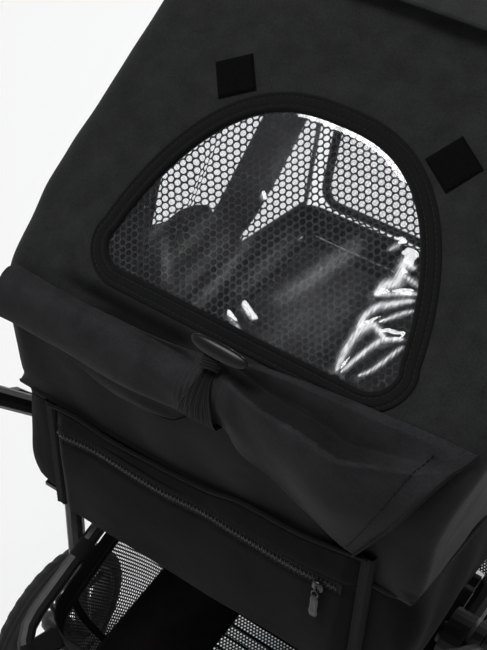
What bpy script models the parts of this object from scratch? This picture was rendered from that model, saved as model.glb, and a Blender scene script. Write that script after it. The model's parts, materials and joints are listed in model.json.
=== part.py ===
"""Four-wheel pet stroller with a folding frame, a fabric cabin and a rear hood window.

Metres, +Z up. The stroller travels towards -Y, its handle is at +Y and X = 0 is its mirror plane.
Everything is drawn with Y = 0 at the foot of the rear window, and is moved to its final place at the end.
"""
import math

import bmesh
import bpy
from mathutils import Matrix, Vector

# ---- driving dimensions ----
GAP = 0.0003                  # clearance between faces that meet
CENTRE_SHIFT = 0.0375         # along Y, puts the origin under the middle of the stroller
SIDES = (("left", 1), ("right", -1))

WINDOW_Z = 0.730              # height of the rear window's lower edge
WINDOW_WIDTH = 0.232
WINDOW_HEIGHT = 0.153
WINDOW_WIDTH_POWER = 2.63     # |x / (width / 2)| ** this + (v / height) ** the next = 1
WINDOW_HEIGHT_POWER = 1.74
WINDOW_CORNER = 0.020
HOOD_SLOPE = math.radians(39)
HOOD_LENGTH = 0.250           # up the slope, from the window's foot to the hood's front edge
CABIN_HALF = 0.172            # outer half-width of the fabric cabin
WALL = 0.003
SEAM = 0.0012                 # between the tub and the hood sewn onto it
PANEL_Y = 0.035               # outer face of the upright rear panel
CABIN_FLOOR_Z = 0.4781
TUB_REAR_Z = WINDOW_Z - 0.130
TUB_STEP = (-0.088, WINDOW_Z - 0.165)
TUB_FRONT = (-0.385, WINDOW_Z - 0.222)

TUBE = 0.009                  # radius of the chassis tubes
RAIL_X = 0.186
LEG_X = 0.207
HINGE = (-0.045, 0.466)       # main folding axis, along X
HUB = 0.024
HANDLE_TOP = (0.380, 0.980)
HANDLE_BEND = 0.060
GRIP_HALF = 0.140
FOOT = (-0.035, 0.100)        # rear axle
SHOE_HALF = 0.0095            # half-width of the block that holds the axle
CASTER_Y = -0.420
CASTER_TRAIL = 0.030

HOOD_PIVOT = (-0.200, 0.495)  # axis of the folding canopy, along X
CANOPY_RADIUS = 0.399
CANOPY_HALF = 0.1815
CANOPY_FRONT = math.radians(49)
CANOPY_REAR = math.radians(93)
BOW = 0.0025
BOW_X = 0.1755                # the canopy bow's straight arms run outside the side meshes
BOW_CORNER = 0.020
SIDE_MESH_RADIUS = 0.376      # inside the sweep of the canopy bow's corners

REAR_WHEEL = {"x": 0.245, "radius": 0.100, "half": 0.0155}
FRONT_WHEEL = {"x": RAIL_X, "radius": 0.080, "half": 0.0130}
AXLE = 0.004
AXLE_HEAD = (0.1956, 0.1970)  # in the gap between a folded leg and the side rail
BORE = 0.0043

BLACK_STEEL = ("steel", (0.020, 0.020, 0.022), 0.35, 0.6)
BLACK_PLASTIC = ("plastic", (0.025, 0.025, 0.027), 0.5, 0.0)
BLACK_FABRIC = ("fabric", (0.018, 0.018, 0.020), 0.85, 0.0)
BLACK_MESH = ("mesh", (0.012, 0.012, 0.013), 0.8, 0.0)
CLEAR_FILM = ("film", (0.75, 0.77, 0.80), 0.08, 0.0)
FOAM = ("foam", (0.030, 0.030, 0.032), 0.9, 0.0)
TYRE = ("tyre", (0.022, 0.022, 0.023), 0.75, 0.0)
CUSHION = ("cushion", (0.050, 0.050, 0.055), 0.9, 0.0)


# ---- helpers ----
def material(name, finish):
    _, colour, roughness, metallic = finish
    made = bpy.data.materials.new(name)
    made.use_nodes = True
    shader = made.node_tree.nodes["Principled BSDF"]
    shader.inputs["Base Color"].default_value = (*colour, 1)
    shader.inputs["Roughness"].default_value = roughness
    shader.inputs["Metallic"].default_value = metallic
    return made


def add(name, mesh, finish, origin=(0, 0, 0)):
    """Put a mesh drawn in stroller coordinates into the scene, with its object's origin at origin."""
    mesh.name = name
    mesh.transform(Matrix.Translation(-Vector(origin)))
    mesh.shade_smooth()
    mesh.set_sharp_from_angle(angle=math.radians(35))
    mesh.materials.clear()
    mesh.materials.append(material(name, finish))
    part = bpy.data.objects.new(name, mesh)
    part.location = origin
    bpy.context.collection.objects.link(part)
    return part


def to_mesh(name, bm):
    bmesh.ops.recalc_face_normals(bm, faces=bm.faces)
    mesh = bpy.data.meshes.new(name)
    bm.to_mesh(mesh)
    bm.free()
    return mesh


def prism(outline, depth):
    """A closed solid from corner points, pushed along the depth vector."""
    bm = bmesh.new()
    face = bm.faces.new([bm.verts.new(point) for point in outline])
    pushed = bmesh.ops.extrude_face_region(bm, geom=[face])["geom"]
    moved = [item for item in pushed if isinstance(item, bmesh.types.BMVert)]
    bmesh.ops.translate(bm, verts=moved, vec=depth)
    return to_mesh("prism", bm)


def prism_x(outline, low, high):
    """A closed solid from (y, z) points, between two X values."""
    return prism([(low, y, z) for y, z in outline], (high - low, 0, 0))


def block(low, high):
    (x0, y0, z0), (x1, y1, z1) = low, high
    return prism([(x0, y0, z0), (x1, y0, z0), (x1, y1, z0), (x0, y1, z0)], (0, 0, z1 - z0))


def turned(profile, segments=24, axis="X"):
    """A solid of revolution from (along, radius) points; radius 0 at both ends closes it."""
    bm = bmesh.new()
    rings = []
    for along, radius in profile:
        if radius == 0:
            rings.append([bm.verts.new((along, 0, 0))])
            continue
        turn = [2 * math.pi * step / segments for step in range(segments)]
        rings.append([bm.verts.new((along, radius * math.cos(a), radius * math.sin(a))) for a in turn])
    hollow = profile[0][1] > 0
    pairs = list(zip(rings, rings[1:] + rings[:1])) if hollow else list(zip(rings, rings[1:]))
    for first, second in pairs:
        for step in range(segments):
            after = (step + 1) % segments
            corners = [first[step % len(first)], first[after % len(first)],
                       second[after % len(second)], second[step % len(second)]]
            bm.faces.new(list(dict.fromkeys(corners)))
    if axis == "Z":
        bmesh.ops.rotate(bm, verts=bm.verts, cent=(0, 0, 0), matrix=Matrix.Rotation(-math.pi / 2, 3, "Y"))
    return to_mesh("turned", bm)


def moved(mesh, place):
    mesh.transform(Matrix.Translation(place))
    return mesh


def round_bar(start, end, radius, segments=24, axis="X"):
    return turned([(start, 0), (start, radius), (end, radius), (end, 0)], segments, axis)


def rounded(points, radius, steps=5):
    """The same path with each inner corner replaced by an arc."""
    path = [Vector(point) for point in points]
    smooth = [path[0]]
    for before, corner, after in zip(path, path[1:], path[2:]):
        a, b = (corner - before).normalized(), (after - corner).normalized()
        turn = a.angle(b)
        reach = radius * math.tan(turn / 2)
        centre = corner + (b - a).normalized() * radius / math.cos(turn / 2)
        start = corner - a * reach
        axis = a.cross(b).normalized()
        for step in range(steps + 1):
            spin = Matrix.Rotation(turn * step / steps, 3, axis)
            smooth.append(centre + spin @ (start - centre))
    return smooth + [path[-1]]


def tube(points, radius, resolution=3):
    """A round bar along a path, as a mesh."""
    curve = bpy.data.curves.new("tube", "CURVE")
    curve.dimensions = "3D"
    curve.bevel_depth = radius
    curve.bevel_resolution = resolution
    curve.use_fill_caps = True
    spline = curve.splines.new("POLY")
    spline.points.add(len(points) - 1)
    for place, point in zip(spline.points, points):
        place.co = (*point, 1)
    return welded(baked(bpy.data.objects.new("tube", curve)))


def welded(mesh):
    bm = bmesh.new()
    bm.from_mesh(mesh)
    bmesh.ops.remove_doubles(bm, verts=bm.verts, dist=1e-6)
    return to_mesh("welded", bm)


def baked(carrier):
    """The mesh of an object with its modifiers applied; the object itself is removed."""
    bpy.context.collection.objects.link(carrier)
    graph = bpy.context.evaluated_depsgraph_get()
    mesh = bpy.data.meshes.new_from_object(carrier.evaluated_get(graph))
    bpy.data.objects.remove(carrier)
    return mesh


def combine(base, tools, operation):
    """Boolean of one mesh with several others, one after the other."""
    for tool in tools:
        carrier = bpy.data.objects.new("base", base)
        cutter = bpy.data.objects.new("tool", tool)
        bpy.context.collection.objects.link(cutter)
        step = carrier.modifiers.new("step", "BOOLEAN")
        step.operation = operation
        step.solver = "EXACT"
        step.object = cutter
        base = baked(carrier)
        bpy.data.objects.remove(cutter)
    return welded(base)


def joined(base, *tools):
    return combine(base, tools, "UNION")


def cut(base, *tools):
    return combine(base, tools, "DIFFERENCE")


def shell(faces, thickness):
    """A sheet given as faces of points, made solid by growing inwards."""
    bm = bmesh.new()
    for face in faces:
        bm.faces.new([bm.verts.new(point) for point in face])
    bmesh.ops.remove_doubles(bm, verts=bm.verts, dist=1e-5)
    carrier = bpy.data.objects.new("shell", to_mesh("shell", bm))
    grow = carrier.modifiers.new("grow", "SOLIDIFY")
    grow.thickness = thickness
    grow.offset = -1
    grow.use_even_offset = True
    return baked(carrier)


def strip_faces(line, half):
    """Quads between X = -half and X = half along a line of (y, z) points."""
    return [[(-half, *a), (half, *a), (half, *b), (-half, *b)] for a, b in zip(line, line[1:])]


def arc(centre, radius, start, end, steps):
    """(y, z) points on an arc; angles are measured from the forward horizontal, upwards."""
    angles = [start + (end - start) * step / steps for step in range(steps + 1)]
    return [(centre[0] - radius * math.cos(a), centre[1] + radius * math.sin(a)) for a in angles]


# ---- hood surface ----
def on_hood(x, v, lift=0.0):
    """A point v up the hood's slope from the window's foot, lifted off its outer face."""
    y = -v * math.cos(HOOD_SLOPE) + lift * math.sin(HOOD_SLOPE)
    z = WINDOW_Z + v * math.sin(HOOD_SLOPE) + lift * math.cos(HOOD_SLOPE)
    return (x, y, z)


def window_outline(grow, steps=10):
    """(x, v) points of the D-shaped window, grown outwards by a margin."""
    half, height = WINDOW_WIDTH / 2 + grow, WINDOW_HEIGHT + grow
    points = []
    for step in range(2 * steps + 1):
        turn = math.pi * step / (2 * steps)
        x = half * math.copysign(abs(math.cos(turn)) ** (2 / WINDOW_WIDTH_POWER), math.cos(turn))
        points.append((x, height * math.sin(turn) ** (2 / WINDOW_HEIGHT_POWER)))
    corner = WINDOW_CORNER + grow
    foot = [(corner * (1 - math.sin(a)), -grow + corner * (1 - math.cos(a)))
            for a in (math.pi / 2 * step / 4 for step in range(5))]
    right = [(-half + x, v) for x, v in reversed(foot)]
    left = [(half - x, v) for x, v in foot]
    arch = [(x, max(v, left[-1][1])) for x, v in points if v > left[-1][1] + 0.004]
    return left + arch + right


def window_plate(grow, lift_low, lift_high):
    start = [on_hood(x, v, lift_low) for x, v in window_outline(grow)]
    push = Vector(on_hood(0, 0, lift_high)) - Vector(on_hood(0, 0, lift_low))
    return prism(start, push)


def hood_profile():
    """(y, z) points up the rear of the hood, from the tub's rim to the hood's front edge."""
    bend = 0.060
    corner_v = -PANEL_Y / math.cos(HOOD_SLOPE)
    corner = on_hood(0, corner_v)[1:]
    path = [(0, PANEL_Y, TUB_REAR_Z + SEAM), (0, *corner), on_hood(0, HOOD_LENGTH)]
    return [tuple(point[1:]) for point in rounded(path, bend)]


# ---- chassis ----
def build_side_rails():
    bends = [(RAIL_X, *HINGE), (RAIL_X, -0.350, HINGE[1]), (RAIL_X, CASTER_Y, 0.330),
             (RAIL_X, CASTER_Y, 0.2625)]
    for side, sign in SIDES:
        path = rounded([(sign * x, y, z) for x, y, z in bends], 0.060)
        hub = moved(round_bar(-0.0085, 0.0085, HUB), (sign * RAIL_X, *HINGE))
        bore = moved(round_bar(-0.03, 0.03, BORE, 16), (sign * RAIL_X, *HINGE))
        add(f"{side}_side_rail", cut(joined(tube(path, TUBE), hub), bore), BLACK_STEEL)


def build_crossbars():
    reach = RAIL_X - TUBE - GAP
    for name, y in (("front_crossbar", -0.340), ("rear_crossbar", -0.100)):
        add(name, moved(round_bar(-reach, reach, 0.0075, 12), (0, y, HINGE[1])), BLACK_STEEL)


def build_hinge_pins():
    head, cap = 0.009, 0.013
    for side, sign in SIDES:
        profile = [(0.1725, 0), (0.1725, head), (0.1765, head), (0.1765, AXLE), (0.2168, AXLE),
                   (0.2168, cap), (0.2205, cap * 0.8), (0.2205, 0)]
        pin = turned([(sign * x, r) for x, r in profile], 20)
        add(f"{side}_hinge_pin", moved(pin, (0, *HINGE)), BLACK_STEEL)


def basket_rail_height(y):
    """The basket's rail slopes down to the rear."""
    return 0.310 - 0.326 * (y + 0.058)


def build_basket():
    front, rear, x = -0.3655, 0.090, 0.187
    ends = [(x, front), (x, rear), (-x, rear), (-x, front)]
    path = rounded([(px, y, basket_rail_height(y)) for px, y in ends], 0.050)
    add("basket_rail", tube(path, 0.008), BLACK_STEEL)

    rim_half, floor_half = 0.1760, 0.150
    floor = {"front": (-0.270, 0.212), "rear": (0.030, 0.190)}
    rim = {end: (y, basket_rail_height(y)) for end, y in (("front", -0.300), ("rear", 0.048))}
    low = {(end, s): (s * floor_half, *floor[end]) for end in floor for s in (-1, 1)}
    top = {(end, s): (s * rim_half, *rim[end]) for end in rim for s in (-1, 1)}
    faces = [[low["front", -1], low["front", 1], low["rear", 1], low["rear", -1]]]
    for end in ("front", "rear"):
        faces.append([low[end, -1], low[end, 1], top[end, 1], top[end, -1]])
    for s in (-1, 1):
        faces.append([low["front", s], low["rear", s], top["rear", s], top["front", s]])
    add("basket", shell(faces, 0.0025), BLACK_MESH)


def build_rear_legs():
    hub_low, hub_high = -0.0090, -0.0004
    start = 0.030
    for side, sign in SIDES:
        x = sign * LEG_X
        down = Vector((0, FOOT[0] - HINGE[0], FOOT[1] - HINGE[1])).normalized()
        top = Vector((x, *HINGE)) + down * start
        leg = tube([top, (x, *FOOT)], TUBE)
        hub = moved(round_bar(sign * hub_low, sign * hub_high, HUB), (x, *HINGE))
        neck = block((min(sign * 0.1985, sign * 0.2060), HINGE[0] - 0.006, HINGE[1] - 0.040),
                     (max(sign * 0.1985, sign * 0.2060), HINGE[0] + 0.006, HINGE[1] - 0.015))
        shoe = block((x - SHOE_HALF, FOOT[0] - 0.018, FOOT[1] - 0.020),
                     (x + SHOE_HALF, FOOT[0] + 0.018, FOOT[1] + 0.026))
        bores = [moved(round_bar(-0.03, 0.03, BORE, 16), (x, *centre)) for centre in (HINGE, FOOT)]
        add(f"{side}_rear_leg", cut(joined(leg, hub, neck, shoe), *bores), BLACK_STEEL, (x, *HINGE))

        axle = [(AXLE_HEAD[0], 0), (AXLE_HEAD[0], 0.008), (AXLE_HEAD[1], 0.008), (AXLE_HEAD[1], AXLE),
                (0.2610, AXLE), (0.2610, 0.009), (0.2650, 0.007), (0.2650, 0)]
        place = (0, *FOOT)
        add(f"{side}_rear_axle", moved(turned([(sign * px, r) for px, r in axle], 20), place), BLACK_STEEL,
            (sign * REAR_WHEEL["x"], *FOOT))
    reach = LEG_X - TUBE - GAP
    bar = moved(round_bar(-reach, reach, 0.007, 12), (0, HINGE[0] + 0.0022, HINGE[1] - 0.080))
    add("leg_crossbar", bar, BLACK_STEEL, (0, *HINGE))


def build_brake_pedals():
    pivot = (FOOT[0] + 0.031, FOOT[1] + 0.016)
    lever = [(0.000, 0.004), (0.030, -0.001), (0.050, -0.009), (0.050, -0.013), (0.028, -0.007),
             (0.000, -0.005)]
    for side, sign in SIDES:
        boss = moved(round_bar(-0.008, 0.008, 0.0085, 20), (sign * LEG_X, *pivot))
        corners = [(pivot[0] + y, pivot[1] + z) for y, z in lever]
        plate = prism_x(corners, sign * LEG_X - 0.009, sign * LEG_X + 0.009)
        add(f"{side}_brake_pedal", joined(boss, plate), BLACK_PLASTIC, (sign * LEG_X, *pivot))


def wheel_parts(side, end, wheel, centre):
    radius, half = wheel["radius"], wheel["half"]
    tread, rim = 0.0165, 0.0065
    inner = radius - tread
    tyre = [(-half, inner), (-half, radius - 0.008), (-half * 0.45, radius), (half * 0.45, radius),
            (half, radius - 0.008), (half, inner)]
    add(f"{side}_{end}_tyre", moved(turned(tyre, 30), centre), TYRE, centre)

    edge, hub, web = half * 0.85, 0.014, 0.003
    rim_top, rim_low = inner - GAP, inner - rim
    body = [(-half, BORE), (-half, hub), (-web, hub), (-web, rim_low), (-edge, rim_low), (-edge, rim_top),
            (edge, rim_top), (edge, rim_low), (web, rim_low), (web, hub), (half, hub), (half, BORE)]
    disc = turned(body, 30)
    openings = []
    low, high = hub + 0.007, rim_low - 0.006
    for step in range(5):
        middle = 2 * math.pi * step / 5 + math.pi / 2
        corners = [(low, 0.38), (high, 0.46), (high, 0.15), (high, -0.15), (high, -0.46), (low, -0.38)]
        outline = [(r * math.cos(middle + a), r * math.sin(middle + a)) for r, a in corners]
        openings.append(prism_x(outline, -0.02, 0.02))
    add(f"{side}_{end}_wheel", moved(cut(disc, *openings), centre), BLACK_PLASTIC, centre)


def build_wheels():
    for side, sign in SIDES:
        wheel_parts(side, "rear", REAR_WHEEL, (sign * REAR_WHEEL["x"], *FOOT))
        front = (sign * FRONT_WHEEL["x"], CASTER_Y + CASTER_TRAIL, FRONT_WHEEL["radius"])
        wheel_parts(side, "front", FRONT_WHEEL, front)


def build_casters():
    top, under = 0.2045, 0.1905
    axle_y, axle_z = CASTER_Y + CASTER_TRAIL, FRONT_WHEEL["radius"]
    inner, outer = 0.0155, 0.0195
    for side, sign in SIDES:
        stem = (sign * RAIL_X, CASTER_Y, 0)
        housing = moved(round_bar(top, 0.2620, 0.0165, 24, "Z"), stem)
        socket = moved(round_bar(top - 0.01, 0.2520, 0.0054, 16, "Z"), stem)
        add(f"{side}_caster_housing", cut(housing, socket), BLACK_PLASTIC)

        bridge = block((stem[0] - outer, CASTER_Y - 0.015, under),
                       (stem[0] + outer, CASTER_Y + 0.022, top - 0.0008))
        parts = [moved(round_bar(under + 0.002, 0.2500, 0.0050, 16, "Z"), stem),
                 moved(round_bar(-outer + 0.001, outer - 0.001, AXLE, 16), (stem[0], axle_y, axle_z))]
        tip = arc((axle_y, axle_z), 0.012, math.radians(20), math.radians(-200), 8)
        outline = [(CASTER_Y - 0.0148, under + 0.002)] + tip + [(CASTER_Y + 0.0218, under + 0.002)]
        for low, high in ((-outer, -inner), (inner, outer)):
            parts.append(prism_x(outline, stem[0] + low, stem[0] + high))
        add(f"{side}_caster_fork", joined(bridge, *parts), BLACK_PLASTIC, stem)


def build_handle():
    direction = Vector((0, HANDLE_TOP[0] - HINGE[0], HANDLE_TOP[1] - HINGE[1])).normalized()
    for side, sign in SIDES:
        x = sign * LEG_X
        start = Vector((x, *HINGE)) + direction * 0.030
        path = rounded([start, (x, *HANDLE_TOP), (sign * (GRIP_HALF + 0.001), *HANDLE_TOP)], HANDLE_BEND, 7)
        hub = moved(round_bar(sign * 0.0004, sign * 0.0090, HUB), (x, *HINGE))
        centre = Vector((x, *HINGE))
        bar = tube([centre + direction * 0.012, centre + direction * 0.045], 0.004)
        bar.transform(Matrix.Translation((sign * 0.0047, 0, 0)))
        bore = moved(round_bar(-0.03, 0.03, BORE, 16), (x, *HINGE))
        add(f"{side}_handle_tube", cut(joined(tube(path, TUBE), hub, bar), bore), BLACK_STEEL, (x, *HINGE))
    core = moved(round_bar(-GRIP_HALF, GRIP_HALF, TUBE, 16), (0, *HANDLE_TOP))
    add("handle_crossbar", core, BLACK_STEEL, (0, *HINGE))
    sleeve_half = GRIP_HALF - 0.004
    sleeve = [(-sleeve_half, TUBE + GAP), (-sleeve_half, 0.0125), (-sleeve_half + 0.003, 0.015),
              (sleeve_half - 0.003, 0.015), (sleeve_half, 0.0125), (sleeve_half, TUBE + GAP)]
    add("handle_grip", moved(turned(sleeve, 24), (0, *HANDLE_TOP)), FOAM, (0, *HINGE))


def build_fold_latches():
    direction = Vector((HANDLE_TOP[0] - HINGE[0], HANDLE_TOP[1] - HINGE[1])).normalized()
    across = Vector((-direction.y, direction.x))
    pivot = Vector(HINGE) + direction * 0.062
    outline = [(-0.022, -0.007), (0.012, -0.009), (0.030, -0.006), (0.030, 0.004), (0.012, 0.009),
               (-0.022, 0.007)]
    corners = [pivot + direction * a + across * b for a, b in outline]
    for side, sign in SIDES:
        low, high = sorted((sign * (LEG_X + TUBE + GAP), sign * 0.2215))
        lever = prism_x([tuple(corner) for corner in corners], low, high)
        add(f"{side}_fold_latch", lever, BLACK_PLASTIC, (sign * 0.219, *pivot))


# ---- cabin ----
def build_floor():
    add("floor_board", block((-0.165, -0.365, 0.4738), (0.165, 0.030, CABIN_FLOOR_Z - GAP)), BLACK_PLASTIC)
    pad = block((-0.158, -0.355, 0.4815), (0.158, 0.020, 0.5030))
    carrier = bpy.data.objects.new("pad", pad)
    soften = carrier.modifiers.new("soften", "BEVEL")
    soften.width = 0.006
    soften.segments = 2
    add("cushion", baked(carrier), CUSHION)


def build_tub():
    outline = [(TUB_FRONT[0] + 0.010, CABIN_FLOOR_Z), (PANEL_Y, CABIN_FLOOR_Z), (PANEL_Y, TUB_REAR_Z),
               TUB_STEP, TUB_FRONT]
    half = CABIN_HALF
    strip = [TUB_FRONT, outline[0], outline[1], outline[2]]
    faces = strip_faces(strip, half) + [[(s * half, y, z) for y, z in outline] for s in (-1, 1)]
    add("cabin_tub", shell(faces, WALL), BLACK_FABRIC)


def build_rear_hood():
    line = hood_profile()
    corner = (TUB_STEP[0] - 0.003, TUB_STEP[1] + 0.016)
    foot = (TUB_STEP[0], TUB_STEP[1] + SEAM)
    faces = strip_faces(line, CABIN_HALF)
    faces += [[(s * CABIN_HALF, y, z) for y, z in line + [corner, foot]] for s in (-1, 1)]
    hole = window_plate(0.0, -0.02, 0.02)
    add("rear_hood", cut(shell(faces, WALL), hole), BLACK_FABRIC)


def build_window():
    add("window_mesh", window_plate(-GAP, -0.0028, -0.0018), BLACK_MESH)
    add("window_film", window_plate(-GAP, -0.0014, -0.0004), CLEAR_FILM)
    ring = window_plate(0.0110, GAP, 0.0022)
    add("window_binding", cut(ring, window_plate(0.0, -0.01, 0.01)), BLACK_FABRIC)


def build_top_bow():
    inset, drop = 0.012, 0.0110
    top = on_hood(0.165, HOOD_LENGTH - inset, -drop)
    foot = (0.165, TUB_STEP[0] + 0.012, TUB_STEP[1] - 0.035)
    ends = [foot, top, (-top[0], *top[1:]), (-foot[0], *foot[1:])]
    add("top_bow", tube(rounded(ends, BOW_CORNER), BOW, 2), BLACK_STEEL)


def build_side_meshes():
    """Fine mesh between the tub's rim, the hood's cheek, the canopy and the front door."""
    canopy = arc(HOOD_PIVOT, SIDE_MESH_RADIUS, math.radians(52), math.radians(86), 6)
    lead = 0.0030
    outline = [(TUB_FRONT[0] + 0.004, TUB_FRONT[1] + 0.003)] + canopy
    outline += [(on_hood(0, HOOD_LENGTH)[1] - lead, on_hood(0, HOOD_LENGTH)[2] - 0.008)]
    step_y, step_z = TUB_STEP
    outline += [(step_y - 0.003 - lead, step_z + 0.016), (step_y - lead, step_z + 0.003)]
    for side, sign in SIDES:
        low, high = sorted((sign * (CABIN_HALF - 0.0020), sign * CABIN_HALF))
        add(f"{side}_side_mesh", prism_x(outline, low, high), BLACK_MESH)


def build_front_door():
    """A mesh panel in a fabric border, hinged along its lower edge."""
    foot = Vector((TUB_FRONT[0] - 0.002, TUB_FRONT[1] + 0.003))
    top = Vector(arc(HOOD_PIVOT, 0.380, CANOPY_FRONT, CANOPY_FRONT, 1)[0])
    up = (top - foot).normalized()
    out = Vector((-up.y, up.x))
    length = (top - foot).length - 0.004

    def plate(half, low, high, back, front):
        start = [Vector((x, *(foot + up * v + out * back))) for x, v in
                 ((-half, low), (half, low), (half, high), (-half, high))]
        push = out * (front - back)
        return prism(start, (0, push.x, push.y))

    pivot = (0, *foot)
    half, edge = 0.140, 0.022
    hole = plate(half, edge, length - edge, -0.02, 0.02)
    add("door_border", cut(plate(0.160, 0.002, length, 0.0, 0.0025), hole), BLACK_FABRIC, pivot)
    net = plate(half - GAP, edge + GAP, length - edge - GAP, 0.0008, 0.0018)
    add("door_mesh", net, BLACK_MESH, pivot)


def build_canopy():
    outer = arc(HOOD_PIVOT, CANOPY_RADIUS, CANOPY_FRONT, CANOPY_REAR, 14)
    inner = arc(HOOD_PIVOT, CANOPY_RADIUS - 0.050, CANOPY_REAR, CANOPY_FRONT, 14)
    faces = strip_faces(outer, CANOPY_HALF)
    for s in (-1, 1):
        for a, b, c, d in zip(outer, outer[1:], inner[::-1], inner[::-1][1:]):
            faces.append([(s * CANOPY_HALF, *p) for p in (a, b, d, c)])
    add("canopy", shell(faces, 0.0025), BLACK_FABRIC, (0, *HOOD_PIVOT))

    angle = CANOPY_FRONT + math.radians(1.5)
    tip = arc(HOOD_PIVOT, 0.3925, angle, angle, 1)[0]
    x = BOW_X
    path = rounded([(x, *HOOD_PIVOT), (x, *tip), (-x, *tip), (-x, *HOOD_PIVOT)], BOW_CORNER)
    eyes = [moved(round_bar(-0.0027, 0.0027, 0.008), (s * x, *HOOD_PIVOT)) for s in (-1, 1)]
    bores = [moved(round_bar(-0.01, 0.01, 0.0033, 16), (s * x, *HOOD_PIVOT)) for s in (-1, 1)]
    add("canopy_bow", cut(joined(tube(path, BOW, 2), *eyes), *bores), BLACK_STEEL, (0, *HOOD_PIVOT))

    rivet = [(0.1724, 0), (0.1724, 0.0030), (0.1910, 0.0030), (0.1910, 0.0075), (0.1945, 0.0060),
             (0.1945, 0)]
    y, z = HOOD_PIVOT
    for side, sign in SIDES:
        pin = turned([(sign * px, r) for px, r in rivet], 16)
        add(f"{side}_canopy_rivet", moved(pin, (0, y, z)), BLACK_STEEL)
        low, high = sorted((sign * 0.1825, sign * 0.1905))
        foot = 0.4756
        corners = [(y - 0.012, foot), (y + 0.012, foot), (y + 0.009, z + 0.010), (y - 0.009, z + 0.010)]
        post = prism_x(corners, low, high)
        hole = moved(round_bar(-0.02, 0.02, 0.0033, 16), (sign * 0.1865, y, z))
        add(f"{side}_canopy_bracket", cut(post, hole), BLACK_PLASTIC)


# ---- rear panel and window flap ----
def build_flap():
    """The window cover, rolled down and gathered in the middle under the window."""
    stations = [(-0.182, 0.030, 0.015), (-0.120, 0.034, 0.016), (-0.050, 0.026, 0.013), (0.0, 0.014, 0.010),
                (0.050, 0.024, 0.013), (0.120, 0.032, 0.016), (0.182, 0.028, 0.014)]
    centre_v, segments = -0.040, 12
    bm = bmesh.new()
    rings = []
    for x, half, thick in stations:
        turn = [2 * math.pi * step / segments for step in range(segments)]
        lift = thick + 0.004
        ring = [on_hood(x, centre_v + half * math.cos(a), lift + thick * math.sin(a)) for a in turn]
        rings.append([bm.verts.new(point) for point in ring])
    for first, second in zip(rings, rings[1:]):
        for step in range(segments):
            after = (step + 1) % segments
            bm.faces.new([first[step], first[after], second[after], second[step]])
    bm.faces.new(rings[0])
    bm.faces.new(rings[-1])
    add("window_flap", to_mesh("flap", bm), BLACK_FABRIC)


def build_flap_fastening():
    y, z = on_hood(0, -0.016, 0.036)[1:]
    barrel = [(-0.021, 0), (-0.020, 0.0025), (-0.012, 0.0048), (0.012, 0.0048), (0.020, 0.0025), (0.021, 0)]
    add("flap_toggle", moved(turned(barrel, 16), (0, y, z)), BLACK_PLASTIC)
    corners = ((-0.008, -0.065), (0.008, -0.065), (0.005, -0.025), (-0.005, -0.025))
    band = [on_hood(x, v, 0.030) for x, v in corners]
    push = Vector(on_hood(0, 0, 0.002)) - Vector(on_hood(0, 0, 0))
    add("flap_elastic", prism(band, push), BLACK_FABRIC)
    for side, sign in SIDES:
        patch = [on_hood(sign * 0.085 + dx, 0.156 + dv, 0.0025 + GAP) for dx, dv in
                 ((-0.013, -0.013), (0.013, -0.013), (0.013, 0.013), (-0.013, 0.013))]
        add(f"{side}_hook_patch", prism(patch, push), BLACK_FABRIC)


def build_pocket():
    face = PANEL_Y + GAP
    low, top, thick = WINDOW_Z - 0.250, WINDOW_Z - 0.128, 0.010
    add("rear_pocket", block((-0.139, face, low), (0.139, face + thick, top)), BLACK_FABRIC)
    tape = face + thick + GAP
    zip_z = WINDOW_Z - 0.146
    strip = block((-0.126, tape, zip_z - 0.007), (0.132, tape + 0.0015, zip_z + 0.007))
    add("pocket_zip", strip, BLACK_PLASTIC)
    front, x = tape + 0.0015 + GAP, -0.109
    body = block((x - 0.006, front, zip_z - 0.005), (x + 0.006, front + 0.004, zip_z + 0.005))
    pull = block((x - 0.003, front + 0.001, zip_z - 0.034), (x + 0.003, front + 0.003, zip_z - 0.004))
    add("zip_slider", joined(body, pull), BLACK_STEEL, (x, front, zip_z))


def main():
    for old in list(bpy.data.objects):
        bpy.data.objects.remove(old)
    build_side_rails()
    build_crossbars()
    build_hinge_pins()
    build_basket()
    build_rear_legs()
    build_brake_pedals()
    build_wheels()
    build_casters()
    build_handle()
    build_fold_latches()
    build_floor()
    build_tub()
    build_rear_hood()
    build_window()
    build_top_bow()
    build_side_meshes()
    build_front_door()
    build_canopy()
    build_flap()
    build_flap_fastening()
    build_pocket()
    for part in bpy.data.objects:
        part.location.y += CENTRE_SHIFT


main()
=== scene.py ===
"""The looks of a four-wheel pet stroller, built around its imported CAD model.

Metres, +Z up. The stroller travels towards -Y, its handle is at +Y, and X = 0 is its mirror plane.
Rear surfaces are drawn in skin coordinates (x, t, lift): t is the distance down the rear of the hood
from the window's foot, round the bend and down the upright panel, and lift is the height off it.
"""

import json
import math

import bmesh
import bpy
import numpy as np
from mathutils import Matrix, Vector, noise


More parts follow.
